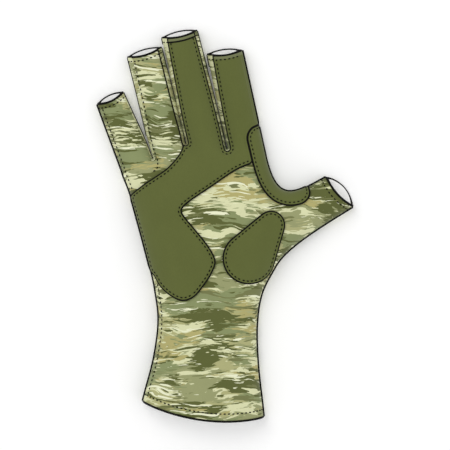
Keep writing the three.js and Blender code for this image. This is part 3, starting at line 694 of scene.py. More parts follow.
def shell(sheet, outer, inner, pull=WALL_PULL):
    """A wall of the sheet: its points at two distances along their normals, joined round the border.
    The border is drawn back along the surface, so that two walls meet with a small gap. The sheet's
    points that are used come back too."""
    place, normal = sheet.points["place"].copy(), sheet.points["normal"]
    edges = sheet.edges()
    run = place[edges[:, 1]] - place[edges[:, 0]]
    run /= np.maximum(np.linalg.norm(run, axis=1, keepdims=True), 1e-9)
    drawn = np.zeros_like(place)
    for k in range(2):
        np.add.at(drawn, edges[:, k], np.cross(normal[edges[:, k]], run))
    size = (drawn ** 2).sum(1, keepdims=True)
    place += np.where(size > LEAST_PULL, drawn * 2 * pull / np.maximum(size, LEAST_PULL), 0)
    top = place + normal * np.reshape(outer, (-1, 1))
    bottom = place + normal * np.reshape(inner, (-1, 1))
    used, index = np.unique(sheet.tri, return_inverse=True)
    tri = index.reshape(-1, 3)
    slot = np.zeros(len(place), int)
    slot[used] = np.arange(len(used))
    a, b = slot[edges[:, 0]], slot[edges[:, 1]]
    low = len(used)
    walls = np.concatenate([np.stack([b, a, a + low], 1), np.stack([b, a + low, b + low], 1)])
    faces = np.concatenate([tri, tri[:, ::-1] + low, walls])
    kinds = np.repeat([0, 1, 2], [len(tri), len(tri), len(walls)])
    made = np.concatenate([top[used], bottom[used]])
    made[:, 2] = np.maximum(made[:, 2], 0)
    return made, faces, kinds, used


def ring_faces(rows, sides, closed):
    """The triangles between rings of points along a tube, with a fan over each end that stays open."""
    r, s = np.meshgrid(np.arange(rows if closed else rows - 1), np.arange(sides), indexing="ij")
    at = lambda row, step: (row % rows * sides + step % sides).ravel()
    a, b, c, d = at(r, s), at(r, s + 1), at(r + 1, s + 1), at(r + 1, s)
    faces = [np.stack([a, b, c], 1), np.stack([a, c, d], 1)]
    if not closed:
        fan = np.arange(1, sides - 1)
        first = np.stack([np.zeros_like(fan), fan + 1, fan], 1)
        faces += [first, first[:, ::-1] + (rows - 1) * sides]
    return np.concatenate(faces)


def tube(path, radius, closed):
    """A cord along a path of places and normals: at each step a circle of the given radius across the
    path, with the normal and the side direction as its axes. Open ends are closed by a cap."""
    place, normal = path[:, :3], path[:, 3:6]
    if closed:
        run = np.roll(place, -1, 0) - np.roll(place, 1, 0)
    else:
        run = np.gradient(place, axis=0)
    run /= np.linalg.norm(run, axis=1, keepdims=True)
    side = np.cross(run, normal)
    side /= np.linalg.norm(side, axis=1, keepdims=True)
    up = np.cross(side, run)
    turn = np.arange(CORD_SIDES) * 2 * np.pi / CORD_SIDES
    ring = np.cos(turn)[None, :, None] * side[:, None] + np.sin(turn)[None, :, None] * up[:, None]
    points = (place[:, None] + radius * ring).reshape(-1, 3)
    return points, ring_faces(len(place), CORD_SIDES, closed)


def dashes(path, closed, pitch, length, radius, keep=None):
    """Stitches along a path: copies of one small thread, which bows up in the middle by a cosine and
    dips at both ends, set at even steps and turned to the path and its normal. keep says which of
    them are made, by their places seen from above."""
    path = resample(path, pitch / PITCH_STEPS, closed)
    place, normal = path[:, :3], path[:, 3:6]
    run = np.gradient(place, axis=0)
    centre = slice(PITCH_STEPS // 2, None, PITCH_STEPS)
    place, normal, run = place[centre], normal[centre], run[centre]
    if keep is not None:
        kept = keep(place[:, :2])
        place, normal, run = place[kept], normal[kept], run[kept]
    run /= np.linalg.norm(run, axis=1, keepdims=True)
    normal = normal / np.linalg.norm(normal, axis=1, keepdims=True)
    side = np.cross(run, normal)
    side /= np.linalg.norm(side, axis=1, keepdims=True)
    rows, sides = STITCH_ROWS, STITCH_SIDES
    t = np.linspace(-1, 1, rows)
    turn = np.arange(sides) * 2 * np.pi / sides
    thick = radius * np.sqrt(np.maximum(STITCH_TIP, 1 - t ** 4))
    x = np.repeat(t * length / 2, sides)
    y = np.outer(thick, np.cos(turn)).ravel()
    bow = radius * (STITCH_BOW * np.cos(t * np.pi / 2) - STITCH_DIP)
    z = (np.outer(thick, np.sin(turn)) + bow[:, None]).ravel()
    points = (place[:, None] + run[:, None] * x[:, None] + side[:, None] * y[:, None]
              + normal[:, None] * z[:, None])
    faces = ring_faces(rows, sides, False) + (np.arange(len(place)) * rows * sides)[:, None, None]
    return points.reshape(-1, 3), faces.reshape(-1, 3)


def joined(parts):
    """Several sets of points and triangles as one."""
    offsets = np.cumsum([0] + [len(points) for points, _ in parts[:-1]])
    return (np.concatenate([points for points, _ in parts]),
            np.concatenate([faces + offset for (_, faces), offset in zip(parts, offsets)]))


def new_piece(name, points, faces, materials, kinds=None, replaces=(), sharp=50):
    """A mesh object at the origin, with its place in its points, that moves with the glove's body."""
    mesh = bpy.data.meshes.new(name)
    mesh.vertices.add(len(points))
    mesh.vertices.foreach_set("co", (points * MM).astype(np.float32).ravel())
    mesh.loops.add(3 * len(faces))
    mesh.loops.foreach_set("vertex_index", faces.astype(np.int32).ravel())
    mesh.polygons.add(len(faces))
    mesh.polygons.foreach_set("loop_start", np.arange(0, 3 * len(faces), 3, dtype=np.int32))
    for material in materials:
        mesh.materials.append(material)
    if kinds is not None:
        mesh.polygons.foreach_set("material_index", kinds.astype(np.int32))
    mesh.update(calc_edges=True)
    if mesh.validate():
        raise RuntimeError(f"{name} had faces that Blender had to mend")
    mesh.shade_smooth()
    mesh.set_sharp_from_angle(angle=math.radians(sharp))
    piece = bpy.data.objects.new(name, mesh)
    bpy.context.scene.collection.objects.link(piece)
    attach(piece, "root")
    if replaces:
        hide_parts(*replaces)
    return piece


# ---------------------------------------------------------------- materials

def tint(red, green, blue):
    """A screen colour from 0 to 255 as linear light."""
    value = np.array([red, green, blue]) / 255
    return tuple(np.where(value <= 0.04045, value / 12.92, ((value + 0.055) / 1.055) ** 2.4))


class Wire:
    """A shader socket. Sums, differences, products and comparisons of it add Math nodes to its tree."""

    def __init__(self, tree, socket):
        self.tree, self.socket = tree, socket

    def math(self, operation, *others):
        """This value put through a Math node."""
        return node(self.tree, "ShaderNodeMath", {"operation": operation},
                    dict(enumerate((self, *others))))

    def __add__(self, other):
        return self.math("ADD", other)

    def __sub__(self, other):
        return self.math("SUBTRACT", other)

    def __rsub__(self, other):
        return node(self.tree, "ShaderNodeMath", {"operation": "SUBTRACT"}, {0: other, 1: self})

    def __mul__(self, other):
        return self.math("MULTIPLY", other)

    def __gt__(self, level):
        return self.math("GREATER_THAN", level)

    __radd__, __rmul__ = __add__, __mul__


def node(tree, kind, settings=None, inputs=None, output=0):
    """A node of the given type: its settings first, then the values or links of its sockets."""
    made = tree.nodes.new(kind)
    for key, value in (settings or {}).items():
        setattr(made, key, value)
    for key, value in (inputs or {}).items():
        socket = made.inputs[key]
        if isinstance(value, Wire):
            tree.links.new(value.socket, socket)
        elif socket.type == "RGBA" and len(value) == 3:
            socket.default_value = (*value, 1.0)
        else:
            socket.default_value = value
    return Wire(tree, made.outputs[output])


def mixed(tree, factor, first, second):
    """Two colours mixed by a factor."""
    return node(tree, "ShaderNodeMix", {"data_type": "RGBA"}, {0: factor, 6: first, 7: second}, 2)


def stretched(tree, vector, scale, offset=(0, 0, 0), turn=0.0):
    """A vector moved, turned about z and scaled."""
    return node(tree, "ShaderNodeMapping", {}, {
        "Vector": vector, "Location": offset, "Rotation": (0, 0, turn), "Scale": scale})


def noise(tree, vector, scale=1.0, detail=3.0, roughness=0.55, distortion=0.0, output=0):
    """Fractal noise, from 0 to 1 about a half."""
    return node(tree, "ShaderNodeTexNoise", {}, {
        "Vector": vector, "Scale": scale, "Detail": detail, "Roughness": roughness,
        "Distortion": distortion}, output)


def millimetres(tree):
    """The object's own coordinates, in millimetres."""
    place = node(tree, "ShaderNodeTexCoord", output="Object")
    return node(tree, "ShaderNodeVectorMath", {"operation": "SCALE"}, {0: place, "Scale": 1000.0})


def finish(name, roughness, sheen=0.0, specular=0.3):
    """A material with a principled shader, and the shader itself."""
    material = bpy.data.materials.new(name)
    material.use_nodes = True
    shader = material.node_tree.nodes["Principled BSDF"]
    shader.inputs["Roughness"].default_value = roughness
    shader.inputs["Sheen Weight"].default_value = sheen
    shader.inputs["Specular IOR Level"].default_value = specular
    return material, shader


def toned(tree, shader, colour, value):
    """A colour made lighter and darker by a value, put into the shader's base colour."""
    made = node(tree, "ShaderNodeHueSaturation", {}, {"Color": colour, "Value": value})
    tree.links.new(made.socket, shader.inputs["Base Color"])


def bumped(tree, shader, height, strength, distance):
    """A height put into the shader's normal."""
    normal = node(tree, "ShaderNodeBump", {},
                  {"Height": height, "Strength": strength, "Distance": distance})
    tree.links.new(normal.socket, shader.inputs["Normal"])


def knit(tree, place):
    """Fine knitted loops: columns and rows of rounded stitches."""
    x, y, _ = split(tree, place)
    return (x * KNIT_COLUMNS).math("SINE") * 0.5 + (y * KNIT_ROWS).math("SINE") * 0.5


def split(tree, vector):
    """The three parts of a vector."""
    made = tree.nodes.new("ShaderNodeSeparateXYZ")
    tree.links.new(vector.socket, made.inputs[0])
    return [Wire(tree, socket) for socket in made.outputs]


def camouflage(name, offset, bare=0.0):
    """Printed knit: a pale ground under layers of paint. Each layer is a hard step of a broad stretched
    noise plus a thin one, which draws its borders out into streaks; another noise bends them all. The
    more bare, the less paint."""
    colours = bpy.context.scene.glove_colours
    material, shader = finish(name, 0.8, 0.15, 0.2)
    tree = material.node_tree
    place = millimetres(tree)
    over = lambda size: tuple(1 / length for length in size)
    bend = noise(tree, stretched(tree, place, over(BEND), offset), 1.0, 2.0, 0.5, output=1)
    for operation, other in (("SUBTRACT", (0.5, 0.5, 0.5)), ("MULTIPLY", BEND_REACH), ("ADD", place)):
        bend = node(tree, "ShaderNodeVectorMath", {"operation": operation}, {0: bend, 1: other})
    colour = tuple(colours.cream)
    for k, (paint, size, lean, step) in enumerate(PAINTS):
        shifted = tuple(np.array(offset) + (3.7 * k, 5.1 * k, 2.3 * k))
        field = noise(tree, stretched(tree, bend, over(size), shifted, lean), 1.0, 2.5, 0.5, 0.2)
        streak = noise(tree, stretched(tree, bend, over(STREAK), shifted, lean), 1.0, 2.0, 0.55)
        shows = field + (streak - 0.5) * STREAK_SHARE > step + bare
        colour = mixed(tree, shows, colour, tuple(getattr(colours, paint)))
    fade = noise(tree, stretched(tree, place, (0.06, 0.06, 0.06), offset), 1.0, 4.0, 0.6)
    toned(tree, shader, colour, fade * 0.16 + 0.92)
    bumped(tree, shader, knit(tree, place), 0.25, 0.00008)
    return material


def suede(name):
    """Matt nap: a mottled olive with short lighter and darker strokes, and a fine grain."""
    colours = bpy.context.scene.glove_colours
    material, shader = finish(name, 0.92, 0.15, 0.12)
    tree = material.node_tree
    place = millimetres(tree)
    cloud = noise(tree, stretched(tree, place, (0.05, 0.035, 0.05)), 1.0, 4.0, 0.6)
    nap = noise(tree, stretched(tree, place, (1.3, 0.7, 1.0)), 1.0, 3.0, 0.6)
    value = cloud * 0.22 + nap * 0.16 + 0.81
    hem = node(tree, "ShaderNodeAttribute", {"attribute_name": "hem"}, output="Fac")
    ground = mixed(tree, hem, tuple(colours.suede), tuple(colours.suede_hem))
    toned(tree, shader, ground, value)
    bumped(tree, shader, noise(tree, place, 2.2, 3.0, 0.65), 0.35, 0.0001)
    return material


def lining(name):
    """The unprinted white side of the knit."""
    colours = bpy.context.scene.glove_colours
    material, shader = finish(name, 0.9, 0.1, 0.2)
    tree = material.node_tree
    place = millimetres(tree)
    value = noise(tree, place, 0.12, 3.0, 0.5) * 0.06 + 0.96
    toned(tree, shader, tuple(colours.lining), value)
    bumped(tree, shader, knit(tree, place), 0.2, 0.00008)
    return material


def thread(name):
    """Black twisted thread: a slight change of tone along its strands."""
    colours = bpy.context.scene.glove_colours
    material, shader = finish(name, 0.85, 0.0, 0.12)
    tree = material.node_tree
    place = millimetres(tree)
    strands = noise(tree, stretched(tree, place, (2.4, 2.4, 2.4)), 1.0, 2.0, 0.5)
    toned(tree, shader, tuple(colours.thread), strands * 0.8 + 0.6)
    bumped(tree, shader, strands, 0.3, 0.0001)
    return material


def material_of(name, make, *settings):
    """The material of that name, made the first time it is asked for."""
    return bpy.data.materials.get(name) or make(name, *settings)


# ---------------------------------------------------------------- user's values

def length_property(name, description, default):
    """A size in metres."""
    return bpy.props.FloatProperty(name=name, description=description, default=default, min=0.0,
                                   unit="LENGTH", subtype="DISTANCE", precision=5)


def colour_property(name, description, default):
    """A surface colour."""
    return bpy.props.FloatVectorProperty(name=name, description=description, default=default,
                                         subtype="COLOR", size=3, min=0.0, max=1.0)


class GloveSizes(bpy.types.PropertyGroup):
    """Thicknesses of the glove's layers and its sewing"""
    cloth: length_property("Cloth", "Thickness of the knitted cloth", 0.0012)
    hem: length_property("Hem", "Thickness of the layer turned in at each opening", 0.0010)
    gap: length_property("Gap", "Space between two layers", 0.0003)
    patch: length_property("Patch", "Thickness of a suede patch", 0.0011)
    stitch_pitch: length_property("Stitch pitch", "From one stitch to the next", 0.0028)
    stitch_length: length_property("Stitch length", "Length of one visible stitch", 0.0017)
    stitch_radius: length_property("Stitch radius", "Half the thickness of the thread", 0.00040)
    edging_radius: length_property("Edging radius", "Half the thickness of the corded edges", 0.00056)


class GloveColours(bpy.types.PropertyGroup):
    """Colours of the print, the suede, the lining and the thread"""
    cream: colour_property("Cream", "The print's ground", tint(216, 218, 174))
    chalk: colour_property("Chalk", "The print's palest streaks", tint(234, 236, 203))
    khaki: colour_property("Khaki", "Print", tint(173, 173, 122))
    pale_sage: colour_property("Pale sage", "Print", tint(152, 156, 110))
    sage: colour_property("Sage", "Print", tint(136, 145, 99))
    tan: colour_property("Tan", "Print", tint(177, 170, 111))
    dark_sage: colour_property("Dark sage", "Print", tint(117, 121, 76))
    olive: colour_property("Olive", "The print's darkest colour", tint(92, 98, 50))
    suede: colour_property("Suede", "The patches", tint(94, 101, 53))
    suede_hem: colour_property("Suede hem", "The patches' edges at the open ends", tint(116, 121, 84))
    lining: colour_property("Lining", "Inside of the cloth", tint(252, 252, 250))
    thread: colour_property("Thread", "Stitches and edging", tint(14, 14, 11))


# ---------------------------------------------------------------- operators

def cloth_of(sheet, name, chosen, offset, node_name, bare=0.0):
    """One panel of cloth: print outside, lining inside."""
    sizes = bpy.context.scene.glove_sizes
    materials = [material_of("print_" + name, camouflage, offset, bare), material_of("lining", lining)]
    points, faces, kinds, _ = shell(sheet.only(chosen), 0.0, -sizes.cloth / MM)
    return new_piece(name, points, faces, materials, (kinds == 1).astype(int), [node_name])


class GLOVE_OT_cloth(bpy.types.Operator):
    """Make the palm, the back and the gussets between the fingers"""
    bl_idname = "glove.cloth"
    bl_label = "Cloth"

    def execute(self, context):
        sheet = glove()
        side, gusset = sheet.labels["side"], sheet.labels["gusset"]
        cloth_of(sheet, "palm_cloth", (side == 0) & (gusset < 0), (71, 17, 4), "palm_panel")
        cloth_of(sheet, "back_cloth", (side == 1) & (gusset < 0), (11, 23, 5), "back_panel")
        for k, name in enumerate(GUSSETS):
            cloth_of(sheet, f"gusset_cloth_{name}", gusset == k, (31 + 9 * k, 52, 9), f"gusset_{name}",
                     GUSSET_BARE)
        return {"FINISHED"}


class GLOVE_OT_hems(bpy.types.Operator):
    """Make the turned-in layer at each opening"""
    bl_idname = "glove.hems"
    bl_label = "Hems"

    def execute(self, context):
        sizes = context.scene.glove_sizes
        sheet = glove()
        outer = -(sizes.cloth + sizes.gap) / MM
        for k, name in enumerate(["cuff", *DIGITS]):
            chosen = sheet.labels["hem"] & (sheet.labels["region"] == k)
            points, faces, *_ = shell(sheet.only(chosen), outer, outer - sizes.hem / MM)
            new_piece(f"hem_layer_{name}", points, faces, [material_of("lining", lining)], None,
                      [f"hem_{name}"])
        return {"FINISHED"}


@functools.lru_cache(maxsize=1)
def patches():
    """The three patches as sheets cut from the glove's surface. Each keeps the points inside its
    outline, and carries their distance from its border, seen from above."""
    sheet = glove()
    side, gusset, region = (sheet.labels[key] for key in ("side", "gusset", "region"))
    palm_line = closed_curve(np.array(PALM_PATCH) * (PALM_WIDTH, BODY_LENGTH), PATCH_STEPS)
    palm_line += sheet.centre
    turn = math.radians(90 - HEEL_PAD_LEAN)
    taper = math.acos((HEEL_PAD_RADIUS - HEEL_PAD_TIP) / HEEL_PAD_LENGTH)
    arcs = [(np.array(HEEL_PAD_WIDE) + heading(HEEL_PAD_LEAN) * HEEL_PAD_LENGTH, HEEL_PAD_TIP,
             np.linspace(turn - taper, turn + taper, PAD_STEPS)),
            (np.array(HEEL_PAD_WIDE), HEEL_PAD_RADIUS,
             np.linspace(turn + taper, turn - taper + 2 * np.pi, 2 * PAD_STEPS))]
    pad_line = np.vstack([centre + radius * np.stack([np.cos(angle), np.sin(angle)], 1)
                          for centre, radius, angle in arcs]) + sheet.centre
    web_line = web_outline(sheet.lines["web_path"]) + sheet.centre
    flat = sheet.flat
    web = inside(flat, web_line)
    on = lambda *names: np.isin(region, [REGION[name] for name in names])
    chosen = {
        "palm_suede": ((side == 0) & (gusset < 0) & on("body", "middle", "index"),
                       np.minimum(inside(flat, palm_line), -web - PATCHES_APART)),
        "thumb_suede": ((side == 0) & on("body", "thumb"), inside(flat, pad_line)),
        "web_suede": ((gusset < 0) & on("body", "index", "thumb"), web),
    }
    made = {}
    for name, (faces, value) in chosen.items():
        patch = sheet.only(faces)
        patch.points = {**patch.points, "within": value}
        patch.outline, patch.web = palm_line, web_line
        patch = patch.cut("within")
        patch = patch.only(patch.mean("within") > 0)
        size = len(patch.flat)
        used = np.unique(patch.tri)
        edges = patch.edges()
        at_rim = sheet.at_rim(edges)
        for key, some in (("distance", edges), ("side_distance", edges[~at_rim]),
                          ("rim_distance", edges[at_rim])):
            patch.points[key] = np.full(size, 99.0)
            for run, closed in runs(some, size):
                near = away(patch.flat[used], patch.flat[run], closed)
                patch.points[key][used] = np.minimum(patch.points[key][used], near)
        patch.points["sewn"] = np.minimum(patch.points["side_distance"],
                                          patch.points["rim_distance"] - RIM_STITCH + PATCH_STITCH)
        made[name] = patch
    return made


def web_outline(path):
    """The web patch's outline: a band on one side of the path, whose width rises and falls in a
    quarter circle at each end, and which runs past the cloth on the other side."""
    fine = resample(np.column_stack([path, np.zeros(len(path))]), 1.0)[:, :2]
    run = np.gradient(fine, axis=0)
    run /= np.linalg.norm(run, axis=1, keepdims=True)
    inward = np.stack([run[:, 1], -run[:, 0]], 1)
    share = np.linspace(0, 1, len(fine))
    to_end = np.minimum(share, 1 - share) * len(fine)
    width = WEB_PATCH_WIDTH * np.sqrt(1 - (1 - np.minimum(1, to_end / WEB_PATCH_ROUND)) ** 2)
    return np.vstack([fine + inward * width[:, None], (fine - inward * WEB_PATCH_BEYOND)[::-1]])


def thickness(patch, full, gap):
    """A patch's height over the cloth: a quarter round up from its border, a groove where the stitches
    draw it in, and a slight crown. It thins where the surface turns down at the glove's outline."""
    points = patch.points
    edge = np.sqrt(1 - (1 - np.clip(points["distance"] / PATCH_ROUND, BORDER_SHARE, 1)) ** 2)
    groove = GROOVE_DEPTH * np.exp(-((points["sewn"] - PATCH_STITCH) / GROOVE_WIDTH) ** 2)
    crown = CROWN_HEIGHT * smooth((points["distance"] - CROWN_START) / CROWN_REACH)
    return gap + (full * edge - groove + crown) * turned(points["normal"])


def turned(normal):
    """A share that falls from 1, where the surface is level, to a quarter where it stands upright."""
    return UPRIGHT_SHARE + (1 - UPRIGHT_SHARE) * smooth(np.abs(normal[:, 2]) / LEVEL_NORMAL)


class GLOVE_OT_patches(bpy.types.Operator):
    """Make the suede patches on the palm, the thumb's root and the web"""
    bl_idname = "glove.patches"
    bl_label = "Suede patches"

    def execute(self, context):
        sizes = context.scene.glove_sizes
        gap = sizes.gap / MM
        nodes = {"palm_suede": "palm_patch", "thumb_suede": "thumb_pad", "web_suede": "web_patch"}
        rounding = [("distance", level) for level in (ROUND_CUT, PATCH_ROUND)]
        grooving = [("sewn", PATCH_STITCH + step) for step in GROOVE_CUTS]
        for name, patch in patches().items():
            for key, level in rounding + grooving:
                patch.points["near"] = patch.points[key] - level
                patch = patch.cut("near")
            top = thickness(patch, sizes.patch / MM, gap)
            points, faces, _, used = shell(patch, top, gap * UNDER_SHARE, pull=0.0)
            piece = new_piece(name, points, faces, [material_of("suede", suede)], None,
                              [nodes[name]])
            hem = smooth((RIM_STITCH - patch.points["rim_distance"][used]) / HEM_BLEND)
            attribute = piece.data.attributes.new("hem", "FLOAT", "POINT")
            attribute.data.foreach_set("value", np.tile(hem, 2).astype(np.float32))
        return {"FINISHED"}


def thread_piece(name, parts):
    """Several pieces of thread as one, none of them under the ground."""
    points, faces = joined(parts)
    points[:, 2] = np.maximum(points[:, 2], 0)
    return new_piece(name, points, faces, [material_of("thread", thread)], None, sharp=180)


def cords(name, paths, radius):
    """Cords of one radius along several paths, as one piece."""
    thread_piece(name, [tube(resample(path, CORD_STEP, closed), radius, closed) for path, closed in paths])


class GLOVE_OT_edging(bpy.types.Operator):
    """Make the corded seams between the panels, and the corded edges of openings and patches"""
    bl_idname = "glove.edging"
    bl_label = "Seams and edging"

    def execute(self, context):
        sizes = context.scene.glove_sizes
        radius = sizes.edging_radius / MM
        sheet = glove()
        side, gusset = sheet.labels["side"], sheet.labels["gusset"]
        cords("rim_edging", sheet.paths(sheet.edges(), RIM_LIFT, RIM_OUT), radius)

        seams = sheet.only((side == 0) & (gusset < 0)).edges()
        folded = sheet.only(gusset == 0).edges()
        seams = seams[~np.isin(keys(seams), keys(folded, reverse=True))]
        outer = (sheet.points["outline"][seams] > 0.5).all(1)
        suede, web = (patches()[name] for name in ("palm_suede", "web_suede"))
        lift = OUTER_LIFT + OUTER_EXTRA * smooth(suede.points["within"] / OUTER_FADE)[:, None]
        cords("outer_seam", sheet.paths(seams[outer & ~sheet.at_rim(seams)], lift), OUTER_SHARE * radius)
        wide, narrow = self.gap_edges(sheet)
        wide, narrow = ([(sheet.path(run, FOLD_LIFT), False) for run in found] for found in (wide, narrow))
        cords("seam_thread", sheet.paths(seams[~outer], SEAM_LIFT) + wide, SEAM_SHARE * radius)
        cords("gap_thread", narrow, NARROW_SHARE * radius)

        gap, full = sizes.gap / MM, sizes.patch / MM
        paths = [found for patch in patches().values()
                 for found in patch.paths(patch.edges(), self.raised(patch, gap, 0.5 * full))]
        middle = suede.only(suede.labels["region"] == REGION["middle"])
        for path, closed in middle.lines_at(suede.points["rim_distance"] - RIM_STITCH):
            path[:, :3] += path[:, 3:] * (gap + (full - CORD_SINK) * turned(path[:, 3:]))[:, None]
            paths.append((path, closed))
        cords("patch_edging", paths, radius)
        fold = np.concatenate([
            sheet.grids["index"][::-1, -1], sheet.grids["body"][::-1, -1][:PIPING_ROWS],
            sheet.grids["thumb"][:, 0]])
        fold = fold[(web.points["within"][fold] > PIPING_START) & (sheet.points["outline"][fold] > 0.5)]
        lift = self.raised(web, gap + PIPING_LIFT, full)
        cords("web_piping", [(web.path(fold, lift[fold]), False)], PIPING_SHARE * radius)
        return {"FINISHED"}

    @staticmethod
    def raised(patch, gap, height):
        """How far a height on a patch lies over the cloth, at each of its points."""
        return (gap + height * turned(patch.points["normal"]))[:, None]

    @staticmethod
    def gap_edges(sheet):
        """The folds on both sides of each gap, as runs of points, where the gap is wide enough for two
        cords, and the first fold alone where it is narrow."""
        wide, narrow = [], []
        for name, beside in zip(list(FINGERS), list(FINGERS)[1:]):
            first, second = sheet.grids[name][:, -1], sheet.grids[beside][:, 0]
            for run, facing in ((first, second), (second, first)):
                wide.append(run[away(sheet.flat[run], sheet.flat[facing]) > ROOM_FOR_TWO])
            narrow.append(first[away(sheet.flat[first], sheet.flat[second]) <= ROOM_FOR_ONE])
        return tuple([run for run in found if len(run) >= SHORTEST_RUN] for found in (wide, narrow))


class GLOVE_OT_stitches(bpy.types.Operator):
    """Make the stitches: inside the patches' borders, at the hems and along the seams"""
    bl_idname = "glove.stitches"
    bl_label = "Stitches"

    def execute(self, context):
        sizes = context.scene.glove_sizes
        sheet = glove()
        paths = self.on_patches(sheet, sizes) + self.on_hems(sheet, sizes) + self.along_seams(sheet)
        pitch, length, radius = (value / MM for value in (
            sizes.stitch_pitch, sizes.stitch_length, sizes.stitch_radius))
        thread_piece("stitches", [dashes(path, closed, pitch, length, radius, keep)
                                  for path, closed, keep in paths if len(path) >= SHORTEST_RUN])
        return {"FINISHED"}

    @staticmethod
    def on_patches(sheet, sizes):
        """Lines a little inside each patch's border, and further from an open end. There are none on the
        palm's patch beside the web's, along the index finger's outer seam, or where a cord runs."""
        paths = []
        outer, rim = (sheet.flat[sheet.grids[name][spots]] for name, spots in (
            ("index", (slice(None), -1)), ("middle", (-1, slice(None)))))
        web = patches()["web_suede"].web
        bare = lambda xy: ((inside(xy, web) < -PATCH_STITCH - PATCH_CLEAR)
                           & (away(xy, outer) > PATCH_STITCH + CORD_CLEAR)
                           & (away(xy, rim) > RIM_STITCH + CORD_CLEAR))
        for name, patch in patches().items():
            for path, closed in patch.lines_at(patch.points["sewn"] - PATCH_STITCH):
                lift = sizes.gap / MM + (sizes.patch / MM - GROOVE_DEPTH) * turned(path[:, 3:])
                path[:, :3] += path[:, 3:] * lift[:, None]
                paths.append((path, closed, bare if name == "palm_suede" else None))
        return paths

    @staticmethod
    def on_hems(sheet, sizes):
        """Lines that hold the hems, on both sides of the glove, where no patch covers them."""
        side, region, gusset = (sheet.labels[key] for key in ("side", "region", "gusset"))
        paths = []
        for name, k in REGION.items():
            rim = sheet.grids[name][0 if name == "body" else -1]
            inset = {"body": CUFF_STITCH, "thumb": THUMB_STITCH}.get(name, RIM_STITCH)
            for face, ids in ((0, rim), (1, sheet.back[rim])):
                bare = (gusset >= 0) | (face == 1) | (name not in ("middle", "index"))
                value = away(sheet.flat, sheet.flat[ids]) - inset
                part = sheet.only((side == face) & (region == k) & bare)
                paths += [(path, closed, None) for path, closed in part.lines_at(value)]
        return paths

    @staticmethod
    def along_seams(sheet):
        """Lines beside the seams: the palm's outer edge, the ring finger's strip with its tail below
        the crotch, and a loop round each gap on the back."""
        side, gusset = sheet.labels["side"], sheet.labels["gusset"]
        palm, back = (sheet.only((side == face) & (gusset < 0)) for face in (0, 1))
        patch = patches()["palm_suede"].outline
        rims = [sheet.flat[sheet.grids[name][-1]] for name in FINGERS]
        clear = lambda xy: np.min([away(xy, rim) for rim in rims], 0) > RIM_STITCH + STITCH_CLEAR
        bare = lambda xy: clear(xy) & (inside(xy, patch) < -PATCH_CLEAR)
        outer = sheet.plan[np.concatenate([sheet.grids["body"][:, 0], sheet.grids["little"][1:, 0]])]
        cuff = sheet.plan[sheet.grids["body"][0, 0]][1] + CUFF_STITCH + STITCH_CLEAR
        near = lambda xy: away(xy, outer) < OUTER_STITCH + STITCH_SLACK
        beside = lambda xy: bare(xy) & (xy[:, 1] > cuff) & near(xy)
        paths = [(path, closed, beside)
                 for path, closed in palm.lines_at(away(sheet.flat, outer) - OUTER_STITCH)]
        ring = sheet.plan[sheet.grids["ring"][:, 0]]
        wide = lerp(*GUSSETS["little_ring"][2:], sheet.points["along"]) + STRIP_STITCH
        run = ring[-1] - ring[0]
        across = np.array([run[1], -run[0]]) / np.linalg.norm(run)
        above = lambda xy: clear(xy) & ((xy - ring[0]) @ run > 0) & ((xy - ring[0]) @ across > 1)
        paths += [(path, closed, above) for path, closed in palm.lines_at(away(sheet.flat, ring) - wide)]
        paths.append((sheet.on_palm(np.array(RING_TAIL) + ring[0]), False, None))
        for before, after in zip(list(FINGERS), list(FINGERS)[1:]):
            gap = sheet.plan[np.concatenate([sheet.grids[before][::-1, -1], sheet.grids[after][1:, 0]])]
            paths += [(path, closed, clear)
                      for path, closed in back.lines_at(away(sheet.flat, gap) - GAP_STITCH)]
        return paths


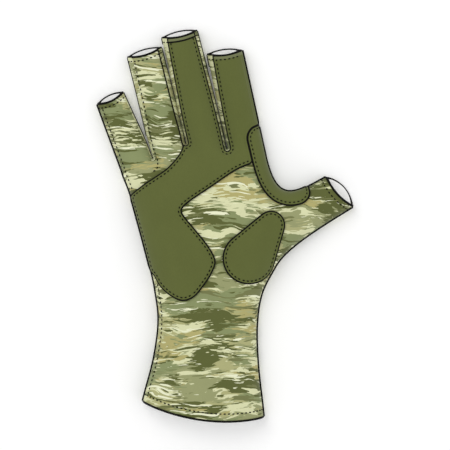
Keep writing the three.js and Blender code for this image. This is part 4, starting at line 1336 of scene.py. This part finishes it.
class GLOVE_OT_stage(bpy.types.Operator):
    """Make the floor, the lights and the camera"""
    bl_idname = "glove.stage"
    bl_label = "Stage"

    def execute(self, context):
        scene = context.scene
        mesh = bpy.data.meshes.new("floor")
        corners = [(x, y, -FLOOR_DROP) for x, y in ((-3, -3), (3, -3), (3, 3), (-3, 3))]
        mesh.from_pydata(corners, [], [(0, 1, 2, 3)])
        floor = bpy.data.objects.new("floor", mesh)
        scene.collection.objects.link(floor)
        material, shader = finish("floor", 0.9, 0.0, 0.1)
        shader.inputs["Base Color"].default_value = (0.98, 0.98, 0.98, 1)
        shader.inputs["Emission Color"].default_value = (1, 1, 1, 1)
        shader.inputs["Emission Strength"].default_value = FLOOR_GLOW
        mesh.materials.append(material)
        world = bpy.data.worlds.new("studio")
        world.use_nodes = True
        background = world.node_tree.nodes["Background"]
        background.inputs["Color"].default_value = (1, 1, 1, 1)
        background.inputs["Strength"].default_value = WORLD_LIGHT
        scene.world = world
        scene.view_settings.view_transform = "Standard"
        for name, (place, size, power) in LIGHTS.items():
            light = bpy.data.objects.new(name, bpy.data.lights.new(name, "AREA"))
            light.data.size, light.data.energy = size, power
            light.location = place
            light.rotation_mode = "QUATERNION"
            light.rotation_quaternion = light.location.to_track_quat("Z", "Y")
            scene.collection.objects.link(light)
        camera = bpy.data.objects.new("camera", bpy.data.cameras.new("camera"))
        camera.data.lens, camera.data.sensor_width = LENS, SENSOR
        camera.data.clip_start, camera.data.clip_end = 0.1, 20
        camera.location = (0, 0, VIEW_WIDTH * LENS / SENSOR)
        scene.collection.objects.link(camera)
        scene.camera = camera
        return {"FINISHED"}


class GLOVE_PT_panel(bpy.types.Panel):
    """The glove's steps and values"""
    bl_label = "Fishing glove"
    bl_idname = "GLOVE_PT_panel"
    bl_space_type = "VIEW_3D"
    bl_region_type = "UI"
    bl_category = "Glove"

    def draw(self, context):
        for operator in OPERATORS:
            self.layout.operator(operator.bl_idname)
        for group in (context.scene.glove_sizes, context.scene.glove_colours):
            for key in group.__annotations__:
                self.layout.prop(group, key)


OPERATORS = (GLOVE_OT_stage, GLOVE_OT_cloth, GLOVE_OT_hems, GLOVE_OT_patches, GLOVE_OT_edging,
             GLOVE_OT_stitches)
CLASSES = (GloveSizes, GloveColours, *OPERATORS, GLOVE_PT_panel)


def register():
    """Adds the classes and the scene's values."""
    for item in CLASSES:
        bpy.utils.register_class(item)
    bpy.types.Scene.glove_sizes = bpy.props.PointerProperty(type=GloveSizes)
    bpy.types.Scene.glove_colours = bpy.props.PointerProperty(type=GloveColours)


def unregister():
    """Removes them again."""
    del bpy.types.Scene.glove_colours
    del bpy.types.Scene.glove_sizes
    for item in reversed(CLASSES):
        bpy.utils.unregister_class(item)


def main():
    """Makes the glove step by step."""
    register()
    bpy.ops.glove.stage()
    bpy.ops.glove.cloth()
    bpy.ops.glove.hems()
    bpy.ops.glove.patches()
    bpy.ops.glove.edging()
    bpy.ops.glove.stitches()


if __name__ == "__main__":
    main()
